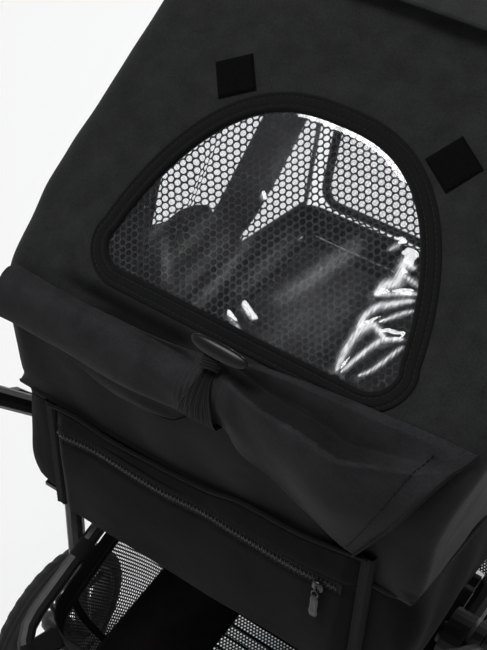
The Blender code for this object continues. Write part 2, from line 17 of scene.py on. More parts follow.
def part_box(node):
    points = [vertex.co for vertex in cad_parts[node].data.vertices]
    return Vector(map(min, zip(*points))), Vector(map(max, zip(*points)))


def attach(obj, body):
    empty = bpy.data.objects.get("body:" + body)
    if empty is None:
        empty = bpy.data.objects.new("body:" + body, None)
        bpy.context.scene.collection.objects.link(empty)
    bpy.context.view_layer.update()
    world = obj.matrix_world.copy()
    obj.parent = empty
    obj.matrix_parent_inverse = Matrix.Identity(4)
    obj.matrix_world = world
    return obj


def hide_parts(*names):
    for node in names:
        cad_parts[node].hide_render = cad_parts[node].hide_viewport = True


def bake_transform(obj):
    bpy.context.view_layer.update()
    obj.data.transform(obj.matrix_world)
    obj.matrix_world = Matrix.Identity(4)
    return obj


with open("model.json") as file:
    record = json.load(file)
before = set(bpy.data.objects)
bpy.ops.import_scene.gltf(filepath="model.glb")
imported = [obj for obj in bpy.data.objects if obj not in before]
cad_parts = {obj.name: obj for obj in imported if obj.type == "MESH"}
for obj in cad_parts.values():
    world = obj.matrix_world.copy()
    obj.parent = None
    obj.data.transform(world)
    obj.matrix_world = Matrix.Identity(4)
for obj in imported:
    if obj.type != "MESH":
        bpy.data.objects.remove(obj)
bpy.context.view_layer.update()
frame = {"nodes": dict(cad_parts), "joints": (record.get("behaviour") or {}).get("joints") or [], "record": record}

SIDES = (("left", 1), ("right", -1))
JOINT_POINT = {joint["name"]: joint.get("pos_m") for joint in frame["joints"]}

# ---- sizes taken from the frame ----
TUB_LOW, TUB_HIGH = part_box("cabin_tub")
HALF = TUB_HIGH.x                        # outer half-width of the cabin
PANEL_Y = TUB_HIGH.y                     # outer face of the upright rear panel
FLOOR_Z = TUB_LOW.z
FOOT_Y = PANEL_Y - 0.035                 # the window's foot
FOOT_Z = TUB_HIGH.z + 0.130
SLOPE = math.radians(39)
HOOD_LENGTH = 0.250
TUB_TOP = (PANEL_Y, TUB_HIGH.z)
TUB_STEP = (FOOT_Y - 0.088, FOOT_Z - 0.165)
TUB_FRONT = (FOOT_Y - 0.385, FOOT_Z - 0.222)

BEND = 0.060
BEND_TURN = math.pi / 2 - SLOPE
BEND_ARC = BEND * BEND_TURN
BEND_START = 0.035 / math.cos(SLOPE) - BEND * math.tan(BEND_TURN / 2)

WINDOW_WIDTH, WINDOW_HEIGHT = 0.232, 0.153
WINDOW_WIDTH_POWER, WINDOW_HEIGHT_POWER = 2.63, 1.74
WINDOW_CORNER = 0.020

PIVOT = Vector(JOINT_POINT["canopy_fold"])
CANOPY_RADIUS = 0.399
CANOPY_FRONT, CANOPY_REAR = math.radians(49), math.radians(93)
CANOPY_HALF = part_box("canopy")[1].x


# ---- materials ----
def shader(name, colour, roughness, metallic=0.0, **sockets):
    """A Principled material; other sockets are given by name with _ for a space."""
    made = bpy.data.materials.new(name)
    made.use_nodes = True
    principled = made.node_tree.nodes["Principled BSDF"]
    principled.inputs["Base Color"].default_value = (*colour, 1)
    principled.inputs["Roughness"].default_value = roughness
    principled.inputs["Metallic"].default_value = metallic
    for socket, value in sockets.items():
        principled.inputs[socket.replace("_", " ")].default_value = value
    return made


def node(tree, kind, links=(), **settings):
    """Adds a node; links are (its input, an output socket) pairs and settings are properties or inputs."""
    made = tree.nodes.new("ShaderNode" + kind)
    for key, value in settings.items():
        if hasattr(made, key):
            setattr(made, key, value)
        else:
            made.inputs[key.replace("_", " ")].default_value = value
    for socket, source in links:
        tree.links.new(source, made.inputs[socket])
    return made


def tint(made, factor, dark, light):
    """Colours the material between dark and light by a factor socket."""
    tree = made.node_tree
    ramp = node(tree, "ValToRGB", [("Fac", factor)])
    ramp.color_ramp.elements[0].color = (*dark, 1)
    ramp.color_ramp.elements[1].color = (*light, 1)
    tree.links.new(ramp.outputs["Color"], tree.nodes["Principled BSDF"].inputs["Base Color"])


def paint_light_and_shade(made):
    """Painted light and shade: colour paler on upper faces and darker on upright and lower ones, and painted shade
    in folds marked "crease".
    """
    tree = made.node_tree
    colour = tree.nodes["Principled BSDF"].inputs["Base Color"]
    rise = node(tree, "SeparateXYZ", [("Vector", node(tree, "NewGeometry").outputs["Normal"])])
    upper = node(tree, "MapRange", [("Value", rise.outputs["Z"])], From_Min=0.05, From_Max=0.80, To_Min=0.34,
                 To_Max=1.06)
    mark = node(tree, "Attribute", attribute_name="crease")
    left = node(tree, "Math", [(1, mark.outputs["Fac"])], operation="SUBTRACT")
    left.inputs[0].default_value = 1.0
    both = node(tree, "Math", [(0, upper.outputs["Result"]), (1, left.outputs[0])], operation="MULTIPLY")
    shaded = node(tree, "VectorMath", [(0, colour.links[0].from_socket)], operation="SCALE")
    tree.links.new(both.outputs[0], shaded.inputs["Scale"])
    tree.links.new(shaded.outputs["Vector"], colour)


def rough(made, factor, low, high):
    tree = made.node_tree
    spread = node(tree, "MapRange", [("Value", factor)], To_Min=low, To_Max=high)
    tree.links.new(spread.outputs["Result"], tree.nodes["Principled BSDF"].inputs["Roughness"])


def emboss(made, height, distance, strength=1.0, under=None):
    tree = made.node_tree
    links = [("Height", height)] + ([("Normal", under)] if under else [])
    bump = node(tree, "Bump", links, Distance=distance, Strength=strength)
    tree.links.new(bump.outputs["Normal"], tree.nodes["Principled BSDF"].inputs["Normal"])
    return bump.outputs["Normal"]


def woven(name, colour, pitch=0.00085, depth=0.00012, sheen=0.04, roughness=0.80, spread=0.55, gloss=0.12):
    """Plain-weave cloth; the weave follows the piece's UVs, which are in metres."""
    made = shader(name, colour, roughness, Sheen_Weight=sheen, Sheen_Roughness=0.5, Specular_IOR_Level=gloss)
    tree = made.node_tree
    place = node(tree, "TexCoord")
    bands = [node(tree, "TexWave", [("Vector", place.outputs["UV"])], bands_direction=way,
                  Scale=math.pi / 10 / pitch, Distortion=0.6, Detail=1.0, Detail_Scale=0.3)
             for way in ("X", "Y")]
    weave = node(tree, "Math", [(0, bands[0].outputs["Fac"]), (1, bands[1].outputs["Fac"])],
                 operation="MULTIPLY")
    blotch = node(tree, "TexNoise", [("Vector", place.outputs["Object"])], Scale=55.0, Detail=5.0,
                  Roughness=0.62)
    fleck = node(tree, "TexNoise", [("Vector", place.outputs["UV"])], Scale=620.0, Detail=3.0,
                 Roughness=0.75)
    mixed = node(tree, "Math", [(0, blotch.outputs["Fac"]), (1, fleck.outputs["Fac"])], operation="ADD")
    uneven = node(tree, "MapRange", [("Value", mixed.outputs[0])], From_Min=0.72, From_Max=1.28)
    shade = node(tree, "Math", [(0, weave.outputs[0]), (2, uneven.outputs["Result"])],
                 operation="MULTIPLY_ADD")
    shade.inputs[1].default_value = 0.3
    tint(made, shade.outputs[0], [c * (1 - spread) for c in colour], [c * (1 + spread) for c in colour])
    # painted light and shade: paler on upper faces, darker on lower ones and in marked folds
    paint_light_and_shade(made)
    rough(made, blotch.outputs["Fac"], roughness - 0.12, roughness + 0.10)
    coarse = emboss(made, blotch.outputs["Fac"], 0.0016, 0.5)
    emboss(made, weave.outputs[0], depth, 0.8, coarse)
    return made


def grained(name, colour, roughness, metallic=0.0, scale=900.0, depth=0.00004, spread=0.25, wear=0.0,
            **more):
    """Moulded or coated surface: fine grain, broad unevenness and slightly worn, shinier places."""
    made = shader(name, colour, roughness, metallic, **more)
    tree = made.node_tree
    place = node(tree, "TexCoord")
    fine = node(tree, "TexNoise", [("Vector", place.outputs["Object"])], Scale=scale, Detail=3.0)
    broad = node(tree, "TexNoise", [("Vector", place.outputs["Object"])], Scale=26.0, Detail=6.0,
                 Roughness=0.7)
    tint(made, broad.outputs["Fac"], [c * (1 - spread) for c in colour],
         [c * (1 + spread) + wear for c in colour])
    rough(made, broad.outputs["Fac"], max(roughness - 0.15, 0.03), roughness + 0.12)
    emboss(made, fine.outputs["Fac"], depth, 0.6)
    return made


def ribbed(name, colour, pitch, depth, roughness=0.8):
    """Elastic or tape: ribs along the piece's length, across its U direction."""
    made = shader(name, colour, roughness, Sheen_Weight=0.03, Specular_IOR_Level=0.08)
    tree = made.node_tree
    place = node(tree, "TexCoord")
    ribs = node(tree, "TexWave", [("Vector", place.outputs["UV"])], bands_direction="X",
                Scale=math.pi / 10 / pitch, Distortion=0.3)
    cross = node(tree, "TexWave", [("Vector", place.outputs["UV"])], bands_direction="Y",
                 Scale=math.pi / 10 / (pitch * 0.6), Distortion=0.5)
    both = node(tree, "Math", [(0, ribs.outputs["Fac"]), (1, cross.outputs["Fac"])],
                operation="MULTIPLY_ADD")
    both.inputs[2].default_value = 0.1
    tint(made, both.outputs[0], [c * 0.6 for c in colour], [c * 1.5 for c in colour])
    emboss(made, both.outputs[0], depth)
    return made


def clear_film(name):
    """Clear vinyl; a vertex attribute says where it is scuffed and clouded, and where painted highlights and
    painted reflections whiten it.
    """
    made = shader(name, (0.97, 0.98, 1.0), 0.035, Transmission_Weight=1.0, IOR=1.46)
    tree = made.node_tree
    place = node(tree, "TexCoord")
    turned = node(tree, "Mapping", [("Vector", place.outputs["UV"])], Rotation=(0, 0, 1.15),
                  Scale=(1.0, 0.16, 1.0))
    hatch = node(tree, "TexNoise", [("Vector", turned.outputs["Vector"])], Scale=900.0, Detail=2.0)
    haze_glare_layer = node(tree, "Attribute", attribute_name="haze_and_glare")
    lines = node(tree, "MapRange", [("Value", hatch.outputs["Fac"])], From_Min=0.40, From_Max=0.70,
                 To_Min=0.55,
                 To_Max=1.75)
    both = node(tree, "Math", [(0, haze_glare_layer.outputs["Fac"]), (1, lines.outputs["Result"])],
                operation="MULTIPLY")
    clear = node(tree, "MapRange", [("Value", both.outputs[0])], From_Max=12.0, To_Min=1.0, To_Max=0.15)
    tree.links.new(clear.outputs["Result"], tree.nodes["Principled BSDF"].inputs["Transmission Weight"])
    return made


MATERIALS = {
    "hood": woven("hood_oxford", (0.0118, 0.0122, 0.0124)),
    "flap": woven("flap_oxford", (0.0138, 0.0139, 0.0152), sheen=0.06),
    # panel and tub are the hood's black oxford painted darker: painted shade on the upright panel, cabin, basket
    # and CAD fabric parts
    "panel": woven("panel_oxford_shaded", (0.0066, 0.0067, 0.0070), gloss=0.02),
    "tub": woven("tub_oxford_shaded", (0.0045, 0.0046, 0.0048), pitch=0.0010, gloss=0.02),
    "lining": woven("lining_cloth", (0.0110, 0.0112, 0.0122), sheen=0.10, roughness=0.7),
    "binding": ribbed("binding_tape", (0.0060, 0.0061, 0.0065), 0.0009, 0.00010),
    "thread": ribbed("stitch_thread", (0.0200, 0.0200, 0.0210), 0.0004, 0.00005, 0.6),
    "net": grained("net_yarn", (0.0085, 0.0085, 0.0092), 0.62, scale=1400.0),
    "elastic": ribbed("elastic_ribs", (0.0120, 0.0120, 0.0128), 0.0016, 0.00030),
    "velcro": grained("hook_tape", (0.0028, 0.0028, 0.0030), 0.95, scale=2200.0, depth=0.0005,
                      Specular_IOR_Level=0.05),
    "toggle": grained("toggle_gloss", (0.0060, 0.0060, 0.0066), 0.32, scale=400.0, depth=0.00002,
                      Specular_IOR_Level=0.24),
    "steel": grained("powder_coat", (0.0085, 0.0085, 0.0092), 0.42, scale=1600.0, depth=0.00006,
                     wear=0.001, Specular_IOR_Level=0.20),
    "plastic": grained("moulded_plastic", (0.0100, 0.0100, 0.0108), 0.44, scale=1100.0, depth=0.00008,
                       Specular_IOR_Level=0.35),
    "rubber": grained("tyre_rubber", (0.0080, 0.0080, 0.0085), 0.72, scale=700.0, depth=0.00015, wear=0.004,
                      Specular_IOR_Level=0.2),
    "foam": grained("grip_foam", (0.0130, 0.0130, 0.0138), 0.88, scale=1900.0, depth=0.00030,
                    Specular_IOR_Level=0.2),
    "cushion": woven("cushion_cloth", (0.0070, 0.0070, 0.0078), pitch=0.0014, depth=0.0002, sheen=0.10),
    "zip": grained("zip_metal", (0.0240, 0.0240, 0.0260), 0.30, 0.7, scale=900.0),
    "film": clear_film("clear_film"),
}


# ---- mesh helpers ----
class Shape:
    """Collects grids of points into one mesh, with UVs in metres."""

    def __init__(self):
        self.points, self.faces, self.uvs, self.marks, self.total = [], [], [], [], 0
        self.second = None

    def coat(self, material):
        """What is added from here on has a second material."""
        self.second = (material, sum(len(faces) for faces in self.faces))
        return self

    def patch(self, points, wrap=(False, False), keep=None, flip=False, uv=None, crease=None):
        """Adds a grid of points [row, column]; wrap joins the last row or column to the first.
        crease says how much painted shade each point's fold gets, from 0 to 1."""
        rows, columns = points.shape[:2]
        index = np.arange(rows * columns).reshape(rows, columns) + self.total
        along, across = lengths(points, 0), lengths(points, 1)
        if wrap[0]:
            index, along = np.vstack([index, index[:1]]), np.append(along, 2 * along[-1] - along[-2])
        if wrap[1]:
            index = np.hstack([index, index[:, :1]])
            across = np.append(across, 2 * across[-1] - across[-2])
        corners = [index[:-1, :-1], index[:-1, 1:], index[1:, 1:], index[1:, :-1]]
        faces = np.stack(corners, -1).reshape(-1, 4)
        if uv is None:
            u, v = np.meshgrid(across, along)
            uv = np.stack([u, v], -1)
        place = [uv[:-1, :-1], uv[:-1, 1:], uv[1:, 1:], uv[1:, :-1]]
        uvs = np.stack(place, 2).reshape(-1, 4, 2)
        if keep is not None:
            chosen = keep.reshape(-1)
            faces, uvs = faces[chosen], uvs[chosen]
        if flip:
            faces, uvs = faces[:, ::-1], uvs[:, ::-1]
        self.faces.append(faces)
        self.uvs.append(uvs)
        self.points.append(points.reshape(-1, 3))
        self.marks.append(np.zeros(rows * columns) if crease is None else np.clip(crease, 0, 0.97).ravel())
        self.total += rows * columns
        return self

    def rod(self, path, radius, sides=8, closed=False, flat=1.0, up=(0, 0, 1)):
        """A tube along a path, with round ends; flat below 1 makes it an oval lying against up."""
        rings = tube_points(path, radius, sides, closed, flat, up)
        return self.patch(rings, (closed, True))

    def build(self, name, material, slot, smooth=True):
        points, faces = np.concatenate(self.points), np.concatenate(self.faces)
        uvs = np.concatenate(self.uvs).reshape(-1, 2)
        mesh = bpy.data.meshes.new(name)
        mesh.vertices.add(len(points))
        mesh.vertices.foreach_set("co", points.astype(np.float32).ravel())
        mesh.loops.add(faces.size)
        mesh.loops.foreach_set("vertex_index", faces.astype(np.int32).ravel())
        mesh.polygons.add(len(faces))
        mesh.polygons.foreach_set("loop_start", np.arange(0, faces.size, 4, dtype=np.int32))
        layer = mesh.uv_layers.new(name="metres")
        layer.data.foreach_set("uv", uvs.astype(np.float32).ravel())
        if self.second:
            in_second = np.arange(len(faces)) >= self.second[1]
            mesh.polygons.foreach_set("material_index", in_second.astype(np.int32))
        # painted shade for folds, stored as the crease attribute that darkens the fabric's colour
        marks = np.concatenate(self.marks)
        if marks.any():
            folds = mesh.attributes.new("crease", "FLOAT", "POINT")
            folds.data.foreach_set("value", marks.astype(np.float32))
        mesh.update(calc_edges=True)
        clean(mesh)
        if smooth:
            mesh.shade_smooth()
        piece = bpy.data.objects.new(name, mesh)
        bpy.context.collection.objects.link(piece)
        mesh.materials.append(MATERIALS[material])
        if self.second:
            mesh.materials.append(MATERIALS[self.second[0]])
        return piece


def clean(mesh):
    """Joins points that coincide and drops loose ones and faces without area."""
    bm = bmesh.new()
    bm.from_mesh(mesh)
    bmesh.ops.remove_doubles(bm, verts=bm.verts, dist=2e-6)
    bmesh.ops.dissolve_degenerate(bm, edges=bm.edges, dist=1e-7)
    bmesh.ops.delete(bm, geom=[v for v in bm.verts if not v.link_faces], context="VERTS")
    bm.to_mesh(mesh)
    bm.free()


def lengths(points, axis):
    """Mean distance along a grid's rows (axis 0) or columns (axis 1) from its first line."""
    steps = np.linalg.norm(np.diff(points, axis=axis), axis=-1).mean(axis=1 - axis)
    return np.concatenate([[0], np.cumsum(steps)])


def tube_points(path, radius, sides, closed, flat, up):
    path = np.asarray(path, float)
    radius = np.broadcast_to(np.asarray(radius, float), len(path))
    if closed:
        tangent = np.roll(path, -1, 0) - np.roll(path, 1, 0)
    else:
        tangent = np.gradient(path, axis=0)
        end = [0.0, 0.6, 0.92, 1.0]
        tips = [path[0] - unit(tangent[0]) * radius[0] * k for k in (0.5, 0.35, 0.1)]
        tails = [path[-1] + unit(tangent[-1]) * radius[-1] * k for k in (0.1, 0.35, 0.5)]
        path = np.vstack([tips, path[1:-1], tails])
        radius = np.concatenate([radius[0] * np.array(end[:3]), radius[1:-1],
                                 radius[-1] * np.array(end[2::-1])])
        tangent = np.gradient(path, axis=0)
    tangent = unit(tangent)
    side = unit(np.cross(tangent, np.asarray(up, float)))
    rise = np.cross(side, tangent)
    turn = np.linspace(0, 2 * math.pi, sides, endpoint=False)
    ring = (np.cos(turn)[None, :, None] * side[:, None] + flat * np.sin(turn)[None, :, None] * rise[:, None])
    return path[:, None] + radius[:, None, None] * ring


def unit(vectors):
    return vectors / np.maximum(np.linalg.norm(vectors, axis=-1, keepdims=True), 1e-12)


def spline(keys, values, at):
    """A smooth curve through (key, value) points, without overshoot between them."""
    keys, values, at = (np.asarray(a, float) for a in (keys, values, at))
    if keys[0] > keys[-1]:
        keys, values = keys[::-1], values[::-1]
    slope = np.diff(values) / np.diff(keys)
    inner = np.where(slope[:-1] * slope[1:] > 0, 2 * slope[:-1] * slope[1:] /
                     np.where(slope[:-1] + slope[1:] == 0, 1, slope[:-1] + slope[1:]), 0)
    tangent = np.concatenate([[slope[0]], inner, [slope[-1]]])
    at = np.clip(at, keys[0], keys[-1])
    i = np.clip(np.searchsorted(keys, at, side="right") - 1, 0, len(keys) - 2)
    gap = keys[i + 1] - keys[i]
    s = (at - keys[i]) / gap
    return ((1 + 2 * s) * (1 - s) ** 2 * values[i] + s * (1 - s) ** 2 * gap * tangent[i]
            + s ** 2 * (3 - 2 * s) * values[i + 1] + s ** 2 * (s - 1) * gap * tangent[i + 1])


def resample(path, count, closed=False):
    path = np.asarray(path, float)
    if closed:
        path = np.vstack([path, path[:1]])
    run = np.concatenate([[0], np.cumsum(np.linalg.norm(np.diff(path, axis=0), axis=1))])
    want = np.linspace(0, run[-1], count, endpoint=not closed)
    return np.stack([np.interp(want, run, path[:, k]) for k in range(path.shape[1])], -1)


def smoothstep(low, high, value):
    s = np.clip((np.asarray(value, float) - low) / (high - low), 0, 1)
    return s * s * (3 - 2 * s)


def ripples(points, size, seed=0.0):
    """Smooth noise from -1 to 1 at each point, with features of about the given size."""
    flat = np.asarray(points, float).reshape(-1, 3) / size + seed
    values = [noise.noise(Vector(point)) for point in flat]
    return np.array(values).reshape(np.asarray(points).shape[:-1])


def thicken(piece, thickness, offset=-1.0):
    grow = piece.modifiers.new("thickness", "SOLIDIFY")
    grow.thickness = thickness
    grow.offset = offset
    return piece


def finish_mesh(piece):
    """Applies the piece's modifiers to its mesh."""
    graph = bpy.context.evaluated_depsgraph_get()
    piece.data = bpy.data.meshes.new_from_object(piece.evaluated_get(graph))
    piece.modifiers.clear()
    return piece


def stitches(shape, path, length=0.0026, gap=0.0013, radius=0.00030, closed=False, up=(0, 0, 1)):
    """A row of raised stitches along a path on a surface whose outward direction is up."""
    path = np.asarray(path, float)
    total = np.linalg.norm(np.diff(path, axis=0), axis=1).sum()
    count = max(2, int(total / (length + gap)))
    fine = resample(path, count * 6 + (0 if closed else 1), closed)
    up = np.asarray(up, float)
    for step in range(count):
        piece = fine[step * 6:step * 6 + 5]
        if len(piece) < 5:
            continue
        direction = up[min(step * 6 * len(up) // len(fine), len(up) - 1)] if up.ndim == 2 else up
        arch = np.array([0.0, 0.8, 1.0, 0.8, 0.0])[:, None] * direction * radius * 0.9
        shape.rod(piece + arch, radius, 5, up=direction)
    return shape


# ---- the rear surface ----
def skin(x, t, lift=0.0):
    """Points on the hood's rear slope, the bend and the upright panel."""
    x, t, lift = np.broadcast_arrays(*(np.asarray(a, float) for a in (x, t, lift)))
    angle = SLOPE + np.clip((t - BEND_START) / BEND, 0, BEND_TURN)
    slope = np.minimum(t, BEND_START)
    panel = np.maximum(t - BEND_START - BEND_ARC, 0)
    y = FOOT_Y + slope * math.cos(SLOPE) + BEND * (np.sin(angle) - math.sin(SLOPE)) + lift * np.sin(angle)
    z = (FOOT_Z - slope * math.sin(SLOPE) + BEND * (np.cos(angle) - math.cos(SLOPE)) - panel
         + lift * np.cos(angle))
    return np.stack([x, y, z], -1)


def skin_normal(t):
    angle = SLOPE + np.clip((np.asarray(t, float) - BEND_START) / BEND, 0, BEND_TURN)
    return np.stack([np.zeros_like(angle), np.sin(angle), np.cos(angle)], -1)


def panel_t(height):
    """t of a height above the window's foot, on the upright panel."""
    return BEND_START + BEND_ARC - height + (-BEND_START * math.sin(SLOPE) - BEND * math.cos(SLOPE))


def window_outline(count):
    """(x, v) points evenly round the D-shaped window, v up the slope."""
    half = WINDOW_WIDTH / 2
    turn = np.linspace(0, math.pi, 160)
    x = half * np.sign(np.cos(turn)) * np.abs(np.cos(turn)) ** (2 / WINDOW_WIDTH_POWER)
    v = WINDOW_HEIGHT * np.sin(turn) ** (2 / WINDOW_HEIGHT_POWER)
    arch = np.stack([x, v], -1)[v > WINDOW_CORNER + 0.004]
    a = np.linspace(0, math.pi / 2, 14)
    foot = np.stack([WINDOW_CORNER * (1 - np.sin(a)), WINDOW_CORNER * (1 - np.cos(a))], -1)
    left = foot * (-1, 1) + (half, 0)
    right = foot[::-1] * (1, 1) + (-half, 0)
    return resample(np.vstack([left, arch, right]), count, closed=True)


WINDOW = window_outline(280)
WINDOW_OUT = unit(np.stack([np.roll(WINDOW, -1, 0)[:, 1] - np.roll(WINDOW, 1, 0)[:, 1],
                            np.roll(WINDOW, 1, 0)[:, 0] - np.roll(WINDOW, -1, 0)[:, 0]], -1))


def outline_distance(outline, x, y):
    """Distance of (x, y) points outside a closed outline, negative inside."""
    place = np.stack(np.broadcast_arrays(x, y), -1).reshape(-1, 2)
    nearest = np.full(len(place), np.inf)
    crossings = np.zeros(len(place), int)
    for a, b in zip(outline, np.roll(outline, -1, 0)):
        edge = b - a
        s = np.clip(((place - a) @ edge) / (edge @ edge), 0, 1)
        nearest = np.minimum(nearest, np.linalg.norm(place - a - s[:, None] * edge, axis=1))
        spans = (a[1] > place[:, 1]) != (b[1] > place[:, 1])
        if a[1] != b[1]:
            crossings += spans & (place[:, 0] < (b[0] - a[0]) * (place[:, 1] - a[1]) / (b[1] - a[1]) + a[0])
    return np.where(crossings % 2 == 1, -nearest, nearest).reshape(np.broadcast(x, y).shape)


def window_distance(x, v):
    return outline_distance(WINDOW, x, v)


def window_line(grow, lift):
    """3-D points round the window, grown outwards and lifted off the hood."""
    flat = WINDOW + WINDOW_OUT * grow
    return skin(flat[:, 0], -flat[:, 1], lift)


# ---- hood ----
def grid_normals(points):
    return unit(np.cross(np.gradient(points, axis=1), np.gradient(points, axis=0)))


def valley_reach(x):
    """Where across the hood the valley above the flap's left roll lies."""
    return smoothstep(0.008, 0.034, x) * (1 - smoothstep(0.100, 0.150, x))


def slope_length(points):
    """Distance t down the slope of (x, y, z) points that lie near it."""
    return (points[:, 1] - FOOT_Y) * math.cos(SLOPE) - (points[:, 2] - FOOT_Z) * math.sin(SLOPE)


def valley_shade(x, t):
    dark = smoothstep(0.012, 0.040, x) * (1 - smoothstep(0.080, 0.130, x))
    return 0.97 * dark * np.exp(-(np.clip(0.0285 - t, 0, 1) / 0.0085) ** 2) * (t < 0.06)


def build_hood():
    """One sheet: up the panel, round the bend, up the slope, and down both cheeks to the door line."""
    rows = np.linspace(panel_t(-0.1305), -HOOD_LENGTH, 150)
    spine = skin(0, rows)[:, 1:]
    border = resample([TUB_TOP, TUB_STEP, (TUB_STEP[0] - 0.003, TUB_STEP[1] + 0.016), tuple(spine[-1])], 150)
    border[:, 1] += 0.0015 * (1 - smoothstep(0.3, 0.5, np.linspace(0, 1, 150)))
    fall = border - spine
    depth = np.linalg.norm(fall, axis=1)
    fall = fall / np.maximum(depth, 1e-9)[:, None]
    width = HALF + spline([-0.25, -0.167, -0.10, -0.03, 0.02, 0.08, 0.15],
                          [-0.001, 0.003, 0.009, 0.017, 0.014, 0.006, 0.0006], rows)
    corner = np.minimum(0.016, depth * 0.8)
    share = np.linspace(1, 0, 15)
    arc = np.linspace(math.pi / 2, 0, 8)[1:]
    grid = []
    for i in range(len(rows)):
        down = corner[i] + (depth[i] - corner[i]) * share
        pull = (width[i] - HALF - 0.0006) * (down / max(depth[i], 1e-6)) ** 1.6
        cheek = np.column_stack([width[i] - pull, spine[i] + down[:, None] * fall[i]])
        turned = corner[i] * (1 - np.cos(arc))
        fillet = np.column_stack([width[i] - corner[i] * (1 - np.sin(arc)),
                                  spine[i] + turned[:, None] * fall[i]])
        x = np.linspace(width[i] - corner[i], corner[i] - width[i], 122)[1:-1]
        roof = np.column_stack([x, np.tile(spine[i], (len(x), 1))])
        half = np.vstack([cheek, fillet])
        grid.append(np.vstack([half, roof, half[::-1] * (-1, 1, 1)]))
    grid = np.array(grid)
    t = np.repeat(rows[:, None], grid.shape[1], 1)
    outside = window_distance(grid[..., 0], -t)
    edge = np.clip(depth / 0.03, 0, 1)[:, None]
    sag = 0.0026 * ripples(grid, 0.085, 3.1) + 0.0009 * ripples(grid, 0.03, 7.7)
    tension = 0.0010 * np.sin(95 * grid[..., 0] + 40 * t) * smoothstep(-0.02, 0.06, t)
    calm = smoothstep(0.014, 0.06, outside) * edge
    dent = -0.0085 * np.exp(-((t - 0.0255) / 0.0075) ** 2) * valley_reach(grid[..., 0])
    grid = grid + grid_normals(grid) * ((sag + tension) * calm + dent)[..., None]
    middle = (outside[:-1, :-1] + outside[1:, 1:] + outside[1:, :-1] + outside[:-1, 1:]) / 4
    hood = Shape().patch(grid, keep=middle > 0.0062, crease=valley_shade(grid[..., 0], t))
    hood = hood.build("rear_hood_fabric", "hood", "black_fabric")
    thicken(hood, 0.0011)
    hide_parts("rear_hood")
    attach(hood, "frame")


def build_binding():
    """A folded tape round the window, with a rolled inner edge, two seams and their stitches."""
    section = [(-0.0010, -0.0042), (-0.0014, -0.0004), (-0.0006, 0.0012), (0.0008, 0.0021), (0.0022, 0.0017),
               (0.0031, 0.0008), (0.0042, 0.0015), (0.0068, 0.0018), (0.0086, 0.0013), (0.0093, 0.0006),
               (0.0101, 0.0014), (0.0113, 0.0016), (0.0124, 0.0009), (0.0129, -0.0006)]
    section = resample([(g, lift) for g, lift in section], 34)
    pucker = 1 + 0.06 * np.sin(np.linspace(0, 2 * math.pi * 46, len(WINDOW), endpoint=False))
    lines = [window_line(grow, lift * np.where(lift > 0, pucker, 1)) for grow, lift in section]
    binding = Shape().patch(np.stack(lines, 1), (True, False)).build("window_binding_tape", "binding",
                                                                     "black_fabric")
    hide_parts("window_binding")
    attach(binding, "frame")
    seams = Shape()
    for grow, lift in ((0.0033, 0.0009), (0.0094, 0.0007)):
        stitches(seams, window_line(grow, lift), closed=True, up=skin_normal(0.0))
    thread = seams.build("window_stitches", "thread", "black_fabric")
    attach(thread, "frame")


def hex_net(place, inside, low, high, pitch, thread, sides, start=0.0):
    """Holes on a staggered grid over (a, b) values; place turns those into 3-D points."""
    shape = Shape()
    rise = pitch * math.sqrt(3) / 2
    rows = np.arange(math.ceil((high[1] - low[1]) / rise) + 1)
    columns = np.arange(math.ceil((high[0] - low[0]) / pitch) + 1)
    a, b = np.meshgrid(low[0] + columns * pitch, low[1] + rows * rise)
    a = a + (rows % 2)[:, None] * pitch / 2
    a, b = a.ravel(), b.ravel()
    chosen = inside(a, b)
    a, b = a[chosen], b[chosen]
    turn = start + np.linspace(0, 2 * math.pi, sides, endpoint=False)
    wall = np.mod(turn + math.pi / 6, math.pi / 3) - math.pi / 6
    outer = pitch / 2 / np.cos(wall)
    inner = np.full(sides, pitch / 2 - thread / 2)
    rings = [place(a[:, None] + reach * np.cos(turn), b[:, None] + reach * np.sin(turn))
             for reach in (outer, inner)]
    flat = [np.stack([a[:, None] + r * np.cos(turn), b[:, None] + r * np.sin(turn)], -1)
            for r in (outer, inner)]
    count = len(a)
    index = shape.total + np.arange(2 * count * sides).reshape(2, count, sides)
    after = np.roll(index, -1, axis=2)
    shape.points.append(np.stack(rings).reshape(-1, 3))
    shape.marks.append(np.zeros(2 * count * sides))
    shape.total += 2 * count * sides
    shape.faces.append(np.stack([index[0], after[0], after[1], index[1]], -1).reshape(-1, 4))
    spin = [np.roll(f, -1, axis=1) for f in flat]
    shape.uvs.append(np.stack([flat[0], spin[0], spin[1], flat[1]], 2).reshape(-1, 4, 2))
    return shape


MESH_FOLD = ((0.0790, 0.118), (0.0742, 0.083), (0.0702, 0.050))


def distance_to(path, x, v):
    """Distance of (x, v) points from a short polyline, and how far along it they are from 0 to 1."""
    place = np.stack(np.broadcast_arrays(x, v), -1)
    nearest, share = np.full(place.shape[:-1], np.inf), np.zeros(place.shape[:-1])
    for i, (a, b) in enumerate(zip(path, path[1:])):
        a, b = np.asarray(a, float), np.asarray(b, float)
        edge = b - a
        s = np.clip(((place - a) @ edge) / (edge @ edge), 0, 1)
        gap = np.linalg.norm(place - a - s[..., None] * edge, axis=-1)
        closer = gap < nearest
        nearest, share = np.where(closer, gap, nearest), np.where(closer, (i + s) / (len(path) - 1), share)
    return nearest, share


